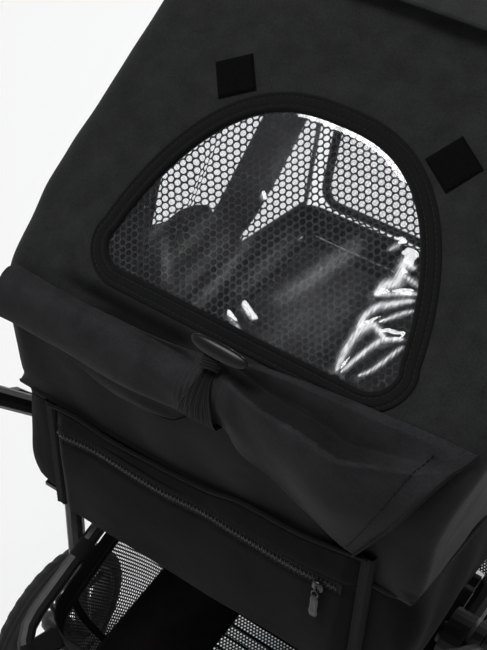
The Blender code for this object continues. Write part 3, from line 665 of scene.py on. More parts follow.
def build_window_net():
    """Knitted mesh with twelve-sided holes behind the clear film, with one soft fold in it."""
    def place(x, v):
        gap, _ = distance_to(MESH_FOLD, x, v)
        side = np.sign(x - 0.0742 - (v - 0.083) * 0.13)
        squeeze = 0.0035 * side * np.exp(-(gap / 0.014) ** 2) * smoothstep(0, 0.006, gap)
        calm = smoothstep(0.0, 0.02, -window_distance(x, v))
        sway = 0.0012 * np.sin(38 * x + 20 * v) * calm
        return skin(x - squeeze * calm + sway * 0.5, -(v + sway), -0.0026 + 0.0004 * calm)
    net = hex_net(place, lambda x, v: window_distance(x, v) < 0.0045, (-0.124, -0.008), (0.124, 0.162),
                  0.0052, 0.00086, 12).build("window_net", "net", "black_mesh")
    thicken(net, 0.0005)
    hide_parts("window_mesh")
    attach(net, "frame")


# Creases of the film, each (path of (x, v) points, height, width), and its soft pale patches, each
# (path, strength, width). Known fault: all of the first list's points and some of the second's are
# places on the photograph that a separate program turned into places on the window. They should be
# worked out from a few driving sizes instead.
FILM_RIDGES = (
    (((-0.0777, 0.0055), (-0.0769, 0.0194), (-0.0794, 0.0327), (-0.0861, 0.0409), (-0.0965, 0.0365)),
     0.0022, 0.0048),
    (((-0.0794, 0.0327), (-0.0772, 0.0410), (-0.0810, 0.0506), (-0.0912, 0.0589), (-0.1014, 0.0657)),
     0.0021, 0.0042),
    (((-0.0890, 0.0451), (-0.0979, 0.0545), (-0.1044, 0.0600)), 0.0014, 0.0028),
    (((-0.0779, 0.0600), (-0.0805, 0.0669), (-0.0866, 0.0732), (-0.0854, 0.0852), (-0.0915, 0.0847)),
     0.0024, 0.0066),
    (((-0.0894, 0.0777), (-0.1013, 0.0755)), 0.0015, 0.0034),
    (((-0.0785, 0.0588), (-0.0917, 0.0662), (-0.1034, 0.0715)), 0.0015, 0.0032),
    (((-0.0813, 0.0058), (-0.0873, 0.0207), (-0.0949, 0.0339), (-0.1068, 0.0409)), 0.0019, 0.0034),
    (((-0.0924, 0.0083), (-0.0982, 0.0153), (-0.1045, 0.0275), (-0.1090, 0.0367)), 0.0017, 0.0028),
    (((0.0016, 0.0157), (-0.0104, 0.0101)), 0.0014, 0.0026),
    (((0.0084, 0.0062), (-0.0058, -0.0002)), 0.0012, 0.0022),
    (((0.0263, 0.0882), (0.0233, 0.0849)), 0.0009, 0.0020),
    (((-0.0498, 0.1377), (-0.0600, 0.1338)), 0.0010, 0.0034),
    (((-0.0718, 0.0889), (-0.0765, 0.0953)), 0.0011, 0.0034),
)
# The soft pale patches are painted reflections: whitening painted on the film along each path.
FILM_REFLECTION_STREAKS = (
    (((-0.0209, 0.0311), (-0.0362, 0.0557), (-0.0500, 0.0822)), 1.00, 0.0060),
    (((0.0321, 0.0002), (0.0241, 0.0268), (0.0185, 0.0553)), 0.62, 0.0042),
    (((0.0750, 0.0307), (0.0584, 0.0080)), 0.50, 0.0038),
    (((0.0470, 0.0040), (0.0360, 0.0500)), 0.34, 0.0050),
    (((0.0640, 0.0200), (0.0500, 0.0640)), 0.32, 0.0050),
    (((0.0080, 0.0240), (-0.0080, 0.0700)), 0.42, 0.0060),
    (((-0.0550, 0.0100), (-0.0620, 0.0600)), 0.30, 0.0080),
    (((0.0860, 0.0300), (0.0790, 0.0650)), 0.42, 0.0036),
    (((-0.0300, 0.0020), (-0.0450, 0.0450)), 0.36, 0.0110),
    (((0.0270, 0.0980), (0.0120, 0.1400)), 0.30, 0.0100),
)


def smooth_path(path):
    """A short polyline as a smooth curve."""
    at = np.linspace(0, len(path) - 1, 8 * len(path))
    return np.column_stack([spline(np.arange(len(path)), [p[k] for p in path], at) for k in (0, 1)])


def film_lift(x, v):
    depth = -window_distance(x, v)
    place = np.stack([x, v, np.zeros_like(x)], -1)
    lift = 0.00028 * (1 + ripples(place, 0.045, 2.2)) + 0.00004 * (1 + ripples(place, 0.012, 5.0))
    for path, height, width in FILM_RIDGES:
        gap, _ = distance_to(smooth_path(path), x, v)
        lift = lift + 0.8 * height * np.exp(-(gap / width) ** 2)
    return -0.0009 + lift * smoothstep(-0.001, 0.006, depth)


def build_film():
    x, v = np.meshgrid(np.linspace(0.122, -0.122, 244), np.linspace(-0.006, 0.160, 166))
    centre = window_distance((x[:-1, :-1] + x[1:, 1:]) / 2, (v[:-1, :-1] + v[1:, 1:]) / 2)
    film = Shape().patch(skin(x, -v, film_lift(x, v)), keep=centre < 0.0035)
    film = film.build("window_film_sheet", "film", "clear_film")
    points = np.array([v.co for v in film.data.vertices], float)
    v = -slope_length(points)
    # slight uneven clouding over the whole sheet
    haze_and_glare = 0.05 + 0.05 * ripples(np.column_stack([points[:, 0], v, 0 * v]), 0.02, 3.0)
    # painted reflections along the soft pale streaks
    for path, strength, width in FILM_REFLECTION_STREAKS:
        gap, share = distance_to(path, points[:, 0], v)
        haze_and_glare = haze_and_glare + strength * np.exp(-(gap / width) ** 2) * (0.55 + 0.45 * np.sin(math.pi * share))
    # painted highlights along the film's ridges
    for path, height, width in FILM_RIDGES:
        gap, share = distance_to(smooth_path(path), points[:, 0] + 0.0004, v - 0.0004)
        core = 0.42 * width * (0.45 + 0.55 * np.sin(math.pi * share) ** 0.5)
        haze_and_glare = haze_and_glare + 5500 * height * np.exp(-np.abs(gap / core) ** 1.7)
    haze_glare_layer = film.data.attributes.new("haze_and_glare", "FLOAT", "POINT")
    haze_glare_layer.data.foreach_set("value", np.clip(haze_and_glare, 0, 12).astype(np.float32))
    thicken(film, 0.00025)
    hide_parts("window_film")
    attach(film, "frame")


# ---- window flap ----
FLAP_KEYS = np.linspace(0, 1, 13)
FLAP_TOP = ((0.173, 0.0290), (0.146, 0.0300), (0.110, 0.0305), (0.068, 0.0300), (0.030, 0.0275),
            (0.010, 0.0240),
            (-0.010, 0.0215), (-0.026, 0.0150), (-0.055, 0.0110), (-0.090, 0.0075), (-0.125, 0.0050),
            (-0.160, 0.0028), (-0.1835, 0.0022))
FLAP_FOOT = ((0.173, 0.0700), (0.146, 0.0720), (0.110, 0.0760), (0.066, 0.0905), (0.026, 0.0865),
             (0.006, 0.0720),
             (-0.0190, 0.0620), (-0.036, 0.0735), (-0.056, 0.0790), (-0.0835, 0.0970), (-0.108, 0.1085),
             (-0.120, 0.1160), (-0.1265, 0.1190))
PINCH = (-0.006, 0.027)


def hump(value, centre, half):
    return np.sqrt(np.clip(1 - ((value - centre) / half) ** 2, 0, 1))


def right_fold(x):
    """Where, down the slope, the valley above the flap's right fold is deepest."""
    # Known fault: seven of these eight heights came from the same kind of separate program as
    # FILM_RIDGES, lowered by 4.5 mm.
    return spline([-0.184, -0.169, -0.151, -0.130, -0.105, -0.083, -0.052, -0.014],
                  [0.0120, 0.0145, 0.0221, 0.0277, 0.0323, 0.0294, 0.0283, 0.0221], x)


def flap_shade(x, t):
    above = right_fold(x) + 0.003 - t
    band = np.exp(-(np.clip(above, 0, 1) / 0.0105) ** 2) * (above > -0.0025)
    return 0.62 * band * smoothstep(0.012, 0.030, -x) * (1 - smoothstep(0.105, 0.155, -x))


def flap_lift(x, t):
    """Height of the rolled-down flap: three rolls on the left, a fan of folds on the right."""
    place = np.stack(np.broadcast_arrays(x, t, np.zeros_like(x)), -1)
    soft = ripples(place, 0.030, 4.4)
    open_left = smoothstep(0.005, 0.070, x)
    centre = 0.0480 + 0.0020 * open_left + 0.0010 * np.sin(34 * x)
    middle = (0.0150 + 0.0010 * open_left) * hump(t, centre,
                                                  0.0170 + 0.0025 * open_left + 0.0008 * soft) ** 0.8
    lower = 0.0060 * hump(t, 0.0760, 0.0160) * smoothstep(0.0, 0.05, x)
    pleat = 0.0009 * np.sin(310 * t + 25 * x) * smoothstep(0.0, 0.02, x) * (1 - smoothstep(0.03, 0.09, x))
    left = 0.0014 + np.maximum(middle, lower) + pleat + 0.0007 * soft

    fold_low = right_fold(x)
    edge = spline([-0.184, -0.160, -0.125, -0.090, -0.055, -0.026, -0.010],
                  [0.0022, 0.0028, 0.0050, 0.0075, 0.0110, 0.0150, 0.0215], x)
    run_out = smoothstep(0.0, 1.0, (t - edge) / np.maximum(fold_low - edge, 1e-3))
    ledge = 0.0060 * smoothstep(-0.178, -0.12, x) * (1 - run_out)
    below = t - fold_low
    reach = spline([-0.184, -0.126, -0.09, -0.05, -0.012], [0.03, 0.09, 0.07, 0.045, 0.03], x)
    main = 0.0165 * smoothstep(-0.001, 0.0075, below) * (1 - 0.62 * smoothstep(0.35, 1.0, below / reach))
    main = main * (1 - 0.55 * smoothstep(0.105, 0.155, -x))
    dx, dt = PINCH[0] - x, t - PINCH[1]
    far, angle = np.hypot(dx, dt), np.arctan2(dt, dx)
    fan = 0.0026 * np.sin(8.5 * angle + 0.6) * smoothstep(0.012, 0.035,
                                                          far) * (1 - smoothstep(0.05, 0.13, far))
    # Known fault: the end of this crease came from the same kind of separate program as FILM_RIDGES.
    gap, _ = distance_to(((-0.0997, 0.0385), (-0.125, 0.0345), (-0.1505, 0.0284)), x, t)
    crease = 0.0016 * np.exp(-(gap / 0.0045) ** 2)
    main = main + (fan + crease) * smoothstep(0.0, 0.010, below) + 0.0012 * soft * smoothstep(0.01, 0.04, far)
    right = 0.0014 + np.maximum(ledge, main)
    share = smoothstep(-0.020, 0.012, x)
    squeezed = 0.0010 + 0.0185 * hump(t, 0.0415, 0.0225) ** 0.8 + 0.0004 * np.sin(1500 * x)
    waist = np.exp(-((x + 0.004) / 0.014) ** 2)
    return (left * share + right * (1 - share)) * (1 - waist) + squeezed * waist


def flap_place(s, b):
    """(x, t) on the flap: s runs from its left end to its right end, b from its upper to its lower edge."""
    top = [spline(FLAP_KEYS, [p[k] for p in FLAP_TOP], s) for k in (0, 1)]
    foot = [spline(FLAP_KEYS, [p[k] for p in FLAP_FOOT], s) for k in (0, 1)]
    return [top[k] + (foot[k] - top[k]) * b for k in (0, 1)]


def flap_point(s, b, extra=0.0):
    x, t = flap_place(s, b)
    hem = smoothstep(0.0, 0.06, b) * smoothstep(0.0, 0.05, 1 - b)
    return skin(x, t, 0.0016 + (flap_lift(x, t) - 0.0016) * (0.25 + 0.75 * hem) + extra)


def build_flap():
    s, b = np.meshgrid(np.linspace(0, 1, 300), np.linspace(1, 0, 130))
    flap = Shape().patch(flap_point(s, b), crease=flap_shade(*flap_place(s, b)))
    flap = flap.build("window_flap_fabric", "flap", "black_fabric")
    thicken(flap, 0.0009)
    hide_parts("window_flap")
    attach(flap, "frame")
    edge = Shape()
    line = np.linspace(0, 1, 240)
    low = flap_point(line, 1.0, 0.0006)
    side = flap_point(1.0, np.linspace(1, 0, 90), 0.0006)
    edge.rod(np.vstack([low, side[1:]]), 0.0010, 8)
    hem = [flap_point(np.full(70, 0.925), np.linspace(0.10, 0.93, 70), 0.0004)]
    stitches(edge, hem[0], up=skin_normal(0.04))
    hemmed = edge.build("window_flap_hem", "binding", "black_fabric")
    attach(hemmed, "frame")


def build_flap_fastening():
    """A wide ribbed elastic round the rolled flap, wound on a glossy oval toggle."""
    across, down = np.meshgrid(np.linspace(0, 1, 97), np.linspace(0, 1, 50))
    width = 0.0034 + 0.0122 * smoothstep(0, 0.95, down)
    centre_x = -0.0075 + 0.0030 * down
    x = centre_x + width * (1 - 2 * across)
    t = 0.0245 + 0.0420 * down
    ribs = 0.00055 * np.abs(np.sin(math.pi * 12 * across))
    lift = flap_lift(np.clip(x, -0.012, 0.004), t) + 0.0016 + ribs
    lift = np.where(down > 0.88, lift * (1 - 0.8 * smoothstep(0.88, 1.0, down)), lift)
    band = Shape().patch(skin(x, t, lift), flip=True)
    loop_turn = np.linspace(0, 2 * math.pi, 40, endpoint=False)
    for ring in range(6):
        wind = skin(-0.0062 + 0.0066 * np.cos(loop_turn), 0.0205 + 0.0013 * ring + 0.0004
                    * np.sin(2 * loop_turn),
                    0.0195 + 0.0052 * np.sin(loop_turn))
        band.rod(wind, 0.00078, 8, closed=True)
    elastic = band.build("flap_elastic_band", "elastic", "black_fabric")
    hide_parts("flap_elastic")
    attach(elastic, "frame")

    turn, along = np.meshgrid(np.linspace(0, 2 * math.pi, 40, endpoint=False), np.linspace(-1, 1, 41))
    slim = np.clip(1 - np.abs(along) ** 2.6, 0, 1) ** 0.5
    reach, wide, thick, tilt = 0.0225, 0.0044, 0.0034, 0.02
    a, c = reach * along, wide * slim * np.cos(turn)
    x = -0.0107 + a * math.cos(tilt) + c * math.sin(tilt)
    t = 0.0172 - a * math.sin(tilt) + c * math.cos(tilt)
    lift = 0.0262 + thick * slim * np.sin(turn) * (1 + 0.15 * np.cos(turn) ** 2)
    toggle = Shape().patch(skin(x, t, lift), (False, True), flip=True)
    toggle = toggle.build("flap_toggle_button", "toggle", "toggle_plastic")
    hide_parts("flap_toggle")
    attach(toggle, "frame")


def build_hook_patches():
    """Stitched squares of fuzzy hook tape that hold the rolled-up flap."""
    for side, sign in SIDES:
        turn = math.radians(-34) * sign
        half = 0.0140
        p, q = np.meshgrid(np.linspace(half, -half, 64), np.linspace(-half, half, 64))
        round_off = smoothstep(0, 0.0022, half - np.maximum(abs(p), abs(q)))
        place = np.stack([p, q, np.full_like(p, sign)], -1)
        fuzz = 0.00045 * ripples(place, 0.0011, 1.0) + 0.0003 * ripples(place, 0.0028, 9.0)
        lift = 0.0004 + (0.0018 + fuzz) * round_off
        x = sign * 0.085 + p * math.cos(turn) - q * math.sin(turn)
        v = 0.156 + p * math.sin(turn) + q * math.cos(turn)
        pad = Shape().patch(skin(x, -v, lift)).build(f"{side}_hook_square", "velcro", "black_fabric")
        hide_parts(f"{side}_hook_patch")
        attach(pad, "frame")


# ---- rear pocket ----
POCKET_HALF = 0.1385
POCKET_LOW = -0.2500
ZIP_TILT = 0.0045 / 0.13


def pocket_top(x):
    return spline([-0.139, -0.077, -0.042, -0.007, 0.033, 0.076, 0.1125, 0.139],
                  [-0.1010, -0.1140, -0.1150, -0.1240, -0.1280, -0.1300, -0.1265, -0.1300], x)


def zip_height(x):
    return -0.1460 - ZIP_TILT * np.asarray(x, float)


def pocket_lift(x, height):
    rise = (height - POCKET_LOW) / (pocket_top(x) - POCKET_LOW)
    side = smoothstep(0, 0.016, POCKET_HALF - np.abs(x))
    place = np.stack(np.broadcast_arrays(x, height, np.zeros_like(x)), -1)
    puff = 0.0080 + 0.0030 * np.sin(math.pi * np.clip(rise, 0, 1)) + 0.0016 * ripples(place, 0.045, 8.2)
    drape = 0.0012 * np.sin(60 * x + 45 * height) * smoothstep(0.0, 0.3, rise)
    groove = 0.0022 * np.exp(-((height - zip_height(x)) / 0.0075) ** 4)
    lip = smoothstep(0, 0.05, rise) * (0.55 + 0.45 * smoothstep(0, 0.16, 1 - rise))
    return 0.0014 + (puff + drape - groove) * side * lip


def panel_point(x, height, lift):
    return skin(x, panel_t(np.asarray(height, float)), lift)


def build_pocket():
    x, rise = np.meshgrid(np.linspace(POCKET_HALF, -POCKET_HALF, 170), np.linspace(0, 1, 90))
    height = POCKET_LOW + (pocket_top(x) - POCKET_LOW) * rise
    pocket = Shape().patch(panel_point(x, height, pocket_lift(x, height)))
    pocket = pocket.build("rear_pocket_fabric", "panel", "black_fabric")
    thicken(pocket, 0.0009)
    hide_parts("rear_pocket")
    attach(pocket, "frame")

    trim = Shape()
    line = np.linspace(POCKET_HALF, -POCKET_HALF, 200)
    top = pocket_top(line)
    trim.rod(panel_point(line, top + 0.0004, 0.0058), 0.0016, 10, up=(0, 1, 0))
    stitches(trim, panel_point(line, top - 0.0032, pocket_lift(line, top - 0.0032) + 0.0002), up=(0, 1, 0))
    for sign in (1, -1):
        heights = np.linspace(POCKET_LOW, pocket_top(sign * POCKET_HALF) + 0.002, 60)
        strip = [panel_point(sign * (POCKET_HALF + dx), heights, lift) for dx, lift in
                 ((-0.0050, 0.0022), (-0.0044, 0.0046), (-0.0028, 0.0056), (0.0, 0.0050), (0.0028, 0.0056),
                  (0.0044, 0.0046), (0.0050, 0.0010))]
        trim.patch(np.stack(strip, 1), flip=sign > 0)
        for dx in (-0.0030, 0.0030):
            stitches(trim, panel_point(sign * (POCKET_HALF + dx), heights, 0.0055), up=(0, 1, 0))
    trimmed = trim.build("pocket_binding", "binding", "black_fabric")
    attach(trimmed, "frame")


def build_zip():
    line = np.linspace(0.1305, -0.1250, 200)
    tape = [panel_point(line, zip_height(line) + dz, pocket_lift(line, zip_height(line)) + lift)
            for dz, lift in ((-0.0078, 0.0004), (-0.0070, 0.0014), (-0.0022, 0.0012), (0.0, 0.0008),
                             (0.0022, 0.0012), (0.0070, 0.0014), (0.0078, 0.0004))]
    zipper = Shape().patch(np.stack(tape, 1), flip=True)
    for edge in (-0.0062, 0.0062):
        path = panel_point(line, zip_height(line) + edge, pocket_lift(line, zip_height(line)) + 0.0015)
        stitches(zipper, path, up=(0, 1, 0))
    tape = zipper.build("pocket_zip_tape", "binding", "black_fabric")
    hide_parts("pocket_zip")
    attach(tape, "frame")
    teeth = Shape()
    for step, x in enumerate(np.arange(0.1285, -0.1225, -0.0016)):
        sign = 1 if step % 2 else -1
        z = zip_height(x)
        base = float(pocket_lift(x, z)) + 0.0022
        ends = panel_point(np.full(4, x), z + sign * np.array([0.0026, 0.0012, -0.0002, -0.0010]),
                           base + np.array([-0.0006, 0.0, 0.0, -0.0004]))
        teeth.rod(ends, 0.00062, 6, up=(0, 1, 0))
    row = teeth.build("pocket_zip_teeth", "zip", "zip_metal")
    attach(row, "frame")


def build_zip_slider():
    low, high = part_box("zip_slider")
    x, front = (low.x + high.x) / 2, low.y
    top = high.z - 0.005
    body = Shape()
    turn, along = np.meshgrid(np.linspace(0, 2 * math.pi, 28, endpoint=False), np.linspace(-1, 1, 17))
    slim = np.clip(1 - np.abs(along) ** 4, 0, 1) ** 0.5
    waist = 0.0050 - 0.0012 * (along + 1) / 2
    shell = np.stack([x + waist * slim * np.cos(turn), front + 0.0010 + 0.0022 * slim * np.sin(turn),
                      top + 0.0052 * along], -1)
    body.patch(shell, (False, True), flip=True)
    bail = np.linspace(-0.5, math.pi + 0.5, 16)
    body.rod(np.stack([np.full(16, x), front + 0.0028 + 0.0020 * np.sin(bail), top + 0.0030 * np.cos(bail)],
                      -1),
             0.00075, 8)
    ring = np.linspace(0, 2 * math.pi, 26, endpoint=False)
    body.rod(np.stack([x + 0.0026 * np.cos(ring), np.full(26, front + 0.0040),
                       top - 0.0058 + 0.0036 * np.sin(ring)], -1), 0.00065, 8, closed=True, up=(0, 1, 0))
    tab = [(0.0020, 0.0), (0.0032, 0.004), (0.0031, 0.014), (0.0036, 0.020), (0.0024, 0.0245)]
    outline = np.array([(w, h) for w, h in tab] + [(-w, h) for w, h in tab[::-1]])
    outline = resample(outline, 44, closed=True)
    levels = ((0.82, -0.0010), (1.0, -0.0006), (1.0, 0.0006), (0.82, 0.0010), (0.45, 0.0010), (0.02, 0.0008))
    rings = [np.stack([x + outline[:, 0] * k, np.full(44, front + 0.0036 + lift),
                       top - 0.0085 - 0.0122 - (outline[:, 1] - 0.0122) * k], -1) for k, lift in levels]
    rings = [rings[-1] + (0, -0.0016, 0)] + rings
    body.patch(np.stack(rings), (False, True), flip=True)
    slider = body.build("pocket_zip_slider", "zip", "zip_metal")
    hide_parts("zip_slider")
    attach(slider, "zip_slider")


# ---- cabin ----
def rounded_loop(half, front, rear, radius, count):
    """(x, y) points anticlockwise round a rectangle with round corners, from the middle of its rear side."""
    arc = np.linspace(0, math.pi / 2, 12)
    centres = [(-half + radius, rear - radius), (-half + radius, front + radius),
               (half - radius, front + radius), (half - radius, rear - radius)]
    points = [(0.0, rear)]
    for quarter, (cx, cy) in enumerate(centres):
        turn = math.pi / 2 * (1 + quarter) + arc
        points += list(zip(cx + radius * np.cos(turn), cy + radius * np.sin(turn)))
    return resample(points, count, closed=True)


def tub_rim(y):
    ends = [TUB_FRONT, TUB_STEP, TUB_TOP]
    return np.interp(y, [p[0] for p in ends], [p[1] for p in ends])


def build_tub():
    loop = rounded_loop(HALF, TUB_FRONT[0] + 0.001, PANEL_Y, 0.020, 260)
    outward = unit(np.stack([np.roll(loop, -1, 0)[:, 1] - np.roll(loop, 1, 0)[:, 1],
                             np.roll(loop, 1, 0)[:, 0] - np.roll(loop, -1, 0)[:, 0]], -1))
    b = np.linspace(0, 1, 30)[:, None]
    height = FLOOR_Z + 0.0006 + (tub_rim(loop[:, 1]) - FLOOR_Z - 0.0006) * b
    behind = smoothstep(PANEL_Y - 0.004, PANEL_Y - 0.001, loop[:, 1])
    inset = 0.007 * (1 - smoothstep(0, 0.10, b))
    place = np.stack(np.broadcast_arrays(loop[:, 0], loop[:, 1], height), -1)
    creases = 0.0013 * np.sin(70 * place[..., 1] + 55 * height + 3 * np.sin(40 * loop[:, 0]))
    swell = 0.0060 * np.sin(math.pi * b) ** 0.8 + 0.0024 * ripples(place, 0.05, 6.0) + creases
    push = (swell * np.sin(math.pi * b) ** 0.5 * (1 - 0.97 * behind) - inset)[..., None]
    walls = place + np.concatenate([outward * push, np.zeros_like(push)], -1)
    tub = Shape().patch(walls, (False, True))
    x, y = np.meshgrid(np.linspace(0.163, -0.163, 60), np.linspace(TUB_FRONT[0] + 0.010, PANEL_Y - 0.008,
                                                                   60))
    tub.patch(np.stack([x, y, np.full_like(x, FLOOR_Z + 0.0008)], -1))
    piece = tub.build("cabin_tub_fabric", "tub", "black_fabric")
    thicken(piece, 0.0014)
    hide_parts("cabin_tub")
    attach(piece, "frame")
    trim = Shape()
    rim = np.column_stack([walls[-1][:, :2], walls[-1][:, 2] + 0.0006])
    trim.rod(rim, 0.0026, 10, closed=True)
    stitches(trim, rim + np.column_stack([outward * 0.0012, np.full(len(rim), -0.0052)]), closed=True,
             up=np.column_stack([outward, np.zeros(len(rim))]))
    edge = trim.build("cabin_rim_binding", "binding", "black_fabric")
    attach(edge, "frame")


def side_outline():
    """(y, z) corners of the side mesh, between the tub, the hood's cheek and the canopy."""
    hood_front = skin(0, -HOOD_LENGTH)
    radius = 0.369
    arch = [(PIVOT.y - radius * math.cos(a), PIVOT.z + radius * math.sin(a))
            for a in np.radians(np.linspace(52, 86, 10))]
    foot = [(TUB_FRONT[0] + 0.004, TUB_FRONT[1] + 0.003)]
    back = [(hood_front[1] - 0.003, hood_front[2] - 0.008), (TUB_STEP[0] - 0.006, TUB_STEP[1] + 0.016),
            (TUB_STEP[0] - 0.003, TUB_STEP[1] + 0.003)]
    return np.array(foot + arch + back)


# The cloth panel's upper and front edge, (y, z) from the window's foot. Known fault: nine of these
# points came from the same kind of separate program as FILM_RIDGES.
PANEL_EDGE = ((-0.118, -0.080), (-0.133, -0.088), (-0.1483, -0.0942), (-0.1679, -0.0950), (-0.190, -0.1035),
              (-0.2087, -0.1157), (-0.2165, -0.1310), (-0.2300, -0.1220), (-0.2543, -0.1003),
              (-0.2997, -0.0630),
              (-0.360, -0.012), (-0.460, 0.073))
PANEL_FRONT = ((-0.600, 0.080), (-0.430, -0.058), (-0.3747, -0.1037), (-0.3261, -0.1434), (-0.2855, -0.1722),
               (-0.2609, -0.1805), (-0.2450, -0.2400))


def build_side_nets():
    """Mesh with a cloth panel across it and a bound border, each side one sheet."""
    foot = np.array([FOOT_Y, FOOT_Z])
    outline = resample(side_outline(), 160, closed=True)
    region = np.array(PANEL_EDGE + PANEL_FRONT + ((-0.24, -0.32), (0.0, -0.32))) + foot
    low, high = outline.min(0), outline.max(0)
    for side, sign in SIDES:
        def place(y, z, lift=0.0):
            give = 0.0007 * np.sin(28 * y) * np.sin(24 * z)
            return np.stack([np.full_like(y, sign * (HALF - 0.0010)) + sign * (give + lift), y, z], -1)

        def open_mesh(y, z):
            return (outline_distance(outline, y, z) < -0.0005) & (outline_distance(region, y, z) > 0.0005)
        net = hex_net(place, open_mesh, low, high, 0.0037, 0.00042, 6)
        net.coat("lining")
        y, z = np.meshgrid(np.linspace(low[0], high[0], 200), np.linspace(low[1], high[1], 210))
        folds = np.stack([y, z, np.full_like(y, sign)], -1)
        inside = np.maximum(outline_distance(outline, y, z), outline_distance(region, y, z))
        crinkle = 0.0011 * ripples(folds, 0.028, 4.0) * smoothstep(0.0, 0.012, -inside)
        net.patch(place(y, z, crinkle - 0.0002), keep=(inside[1:, 1:] < 0.0012))
        edges = [np.column_stack([np.full(len(outline), sign * (HALF - 0.0008)), outline])]
        for line in (PANEL_EDGE, PANEL_FRONT):
            line = resample(np.array(line) + foot, 160)
            line = line[outline_distance(outline, line[:, 0], line[:, 1]) < 0.002]
            edges.append(place(line[:, 0], line[:, 1]))
        for i, line in enumerate(edges):
            net.rod(line, 0.0050 if i == 0 else 0.0036, 12, closed=i == 0, flat=0.20, up=(1, 0, 0))
            stitches(net, line + (sign * 0.0009, 0, 0), closed=i == 0, up=(sign, 0, 0))
        net = net.build(f"{side}_side_net", "net", "black_mesh")
        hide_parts(f"{side}_side_mesh")
        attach(net, "frame")


def canopy_radius(share):
    """Radius of the canopy's cloth from its rear edge (0) to its front bow (1)."""
    return CANOPY_RADIUS - 0.0030 * (1 - share) - 0.0035 * np.sin(math.pi * share) ** 2


def canopy_point(angle, radius, x):
    x, angle, radius = np.broadcast_arrays(x, angle, radius)
    return np.stack([x, PIVOT.y - radius * np.cos(angle), PIVOT.z + radius * np.sin(angle)], -1)


def build_canopy():
    share = np.linspace(0, 1, 70)[:, None]
    angle = CANOPY_REAR + (CANOPY_FRONT - CANOPY_REAR) * share
    corner, half, valance = 0.016, CANOPY_HALF - 0.0004, 0.050
    drop = np.concatenate([np.linspace(valance, corner, 12),
                           corner * (1 - np.cos(np.linspace(1.4, 0.1, 7)))])
    side = np.concatenate([np.full(12, half), half - corner * (1 - np.sin(np.linspace(1.4, 0.1, 7)))])
    middle = np.linspace(half - corner, corner - half, 92)
    x = np.concatenate([side, middle, -side[::-1]])[None]
    fall = np.concatenate([drop, np.zeros(92), drop[::-1]])[None]
    lip = 0.0016 * np.sin(120 * angle) * smoothstep(corner, valance, fall)
    place = canopy_point(angle, canopy_radius(share) - fall, x)
    soft = 0.0016 * ripples(place, 0.07, 2.0) * np.sin(math.pi * share)
    cloth = canopy_point(angle, canopy_radius(share) - fall + soft, x + np.sign(x) * lip)
    canopy = Shape().patch(cloth, flip=True).build("canopy_fabric", "hood", "black_fabric")
    thicken(canopy, 0.0011)
    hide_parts("canopy")
    finish_mesh(canopy)
    rear = canopy_point(CANOPY_REAR, CANOPY_RADIUS, 0.0)
    front = canopy_point(CANOPY_FRONT, CANOPY_RADIUS, 0.0)
    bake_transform(canopy)

    trim = Shape()
    trim.rod(cloth[-1], 0.0030, 12)
    for shift in (0.012, 0.018):
        line = canopy_point(CANOPY_FRONT + shift, canopy_radius(1.0) - fall[0] + 0.0003, x[0])
        stitches(trim, line[14:-14], up=(0, -math.cos(CANOPY_FRONT), math.sin(CANOPY_FRONT)))
    edge = trim.build("canopy_front_binding", "binding", "black_fabric")
    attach(edge, "canopy")


def build_front_door():
    """A mesh door in a bound border, with a zip round three sides."""
    foot = np.array([TUB_FRONT[0] - 0.002, TUB_FRONT[1] + 0.003])
    reach = 0.380
    top = np.array([PIVOT.y - reach * math.cos(CANOPY_FRONT), PIVOT.z + reach * math.sin(CANOPY_FRONT)])
    length = np.linalg.norm(top - foot) - 0.004
    rise = (top - foot) / np.linalg.norm(top - foot)
    out = np.array([-rise[1], rise[0]])

    def place(x, v, lift=0.0012):
        x, v, lift = np.broadcast_arrays(x, v, lift)
        point = foot + v[..., None] * rise + lift[..., None] * out
        return np.stack([x, point[..., 0], point[..., 1]], -1)

    edge = 0.0095
    net = hex_net(place, lambda x, v: (np.abs(x) < 0.1510) & (v > edge) & (v < length - edge),
                  (-0.1515, edge), (0.1515, length - edge), 0.0037, 0.00065, 6)
    net = net.build("door_net", "net", "black_mesh")
    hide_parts("door_mesh")
    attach(net, "front_door")

    loop = rounded_loop(0.1553, 0.0062, length - 0.0050, 0.018, 220)
    outward = unit(np.stack([np.roll(loop, -1, 0)[:, 1] - np.roll(loop, 1, 0)[:, 1],
                             np.roll(loop, 1, 0)[:, 0] - np.roll(loop, -1, 0)[:, 0]], -1))
    section = resample([(-0.0048, -0.0004), (-0.0046, 0.0022), (-0.0038, 0.0026), (-0.0026, 0.0018),
                        (0.0, 0.0020), (0.0026, 0.0018), (0.0038, 0.0026), (0.0044, 0.0020),
                        (0.0045, -0.0004)], 26)
    lines = [place(*(loop + outward * g).T, lift) for g, lift in section]
    border = Shape().patch(np.stack(lines, 1), (True, False))
    up = np.array([0, out[0], out[1]])
    for g in (-0.0033, 0.0033):
        stitches(border, place(*(loop + outward * g).T, 0.0024), closed=True, up=up)
    border = border.build("door_border_tape", "binding", "black_fabric")
    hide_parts("door_border")
    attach(border, "front_door")

    teeth = Shape()
    fine = resample(loop, 760, closed=True)
    across = unit(np.roll(fine, -1, 0) - np.roll(fine, 1, 0))[:, ::-1] * (1, -1)
    for i, point in enumerate(fine):
        if point[1] < 0.020:
            continue
        sign = 1 if i % 2 else -1
        ends = point + across[i] * sign * np.array([-0.0006, 0.0004, 0.0012, 0.0018])[:, None]
        teeth.rod(place(*ends.T, np.array([0.0026, 0.0031, 0.0031, 0.0024])), 0.00060, 6, up=up)
    row = teeth.build("door_zip_teeth", "zip", "zip_metal")
    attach(row, "front_door")


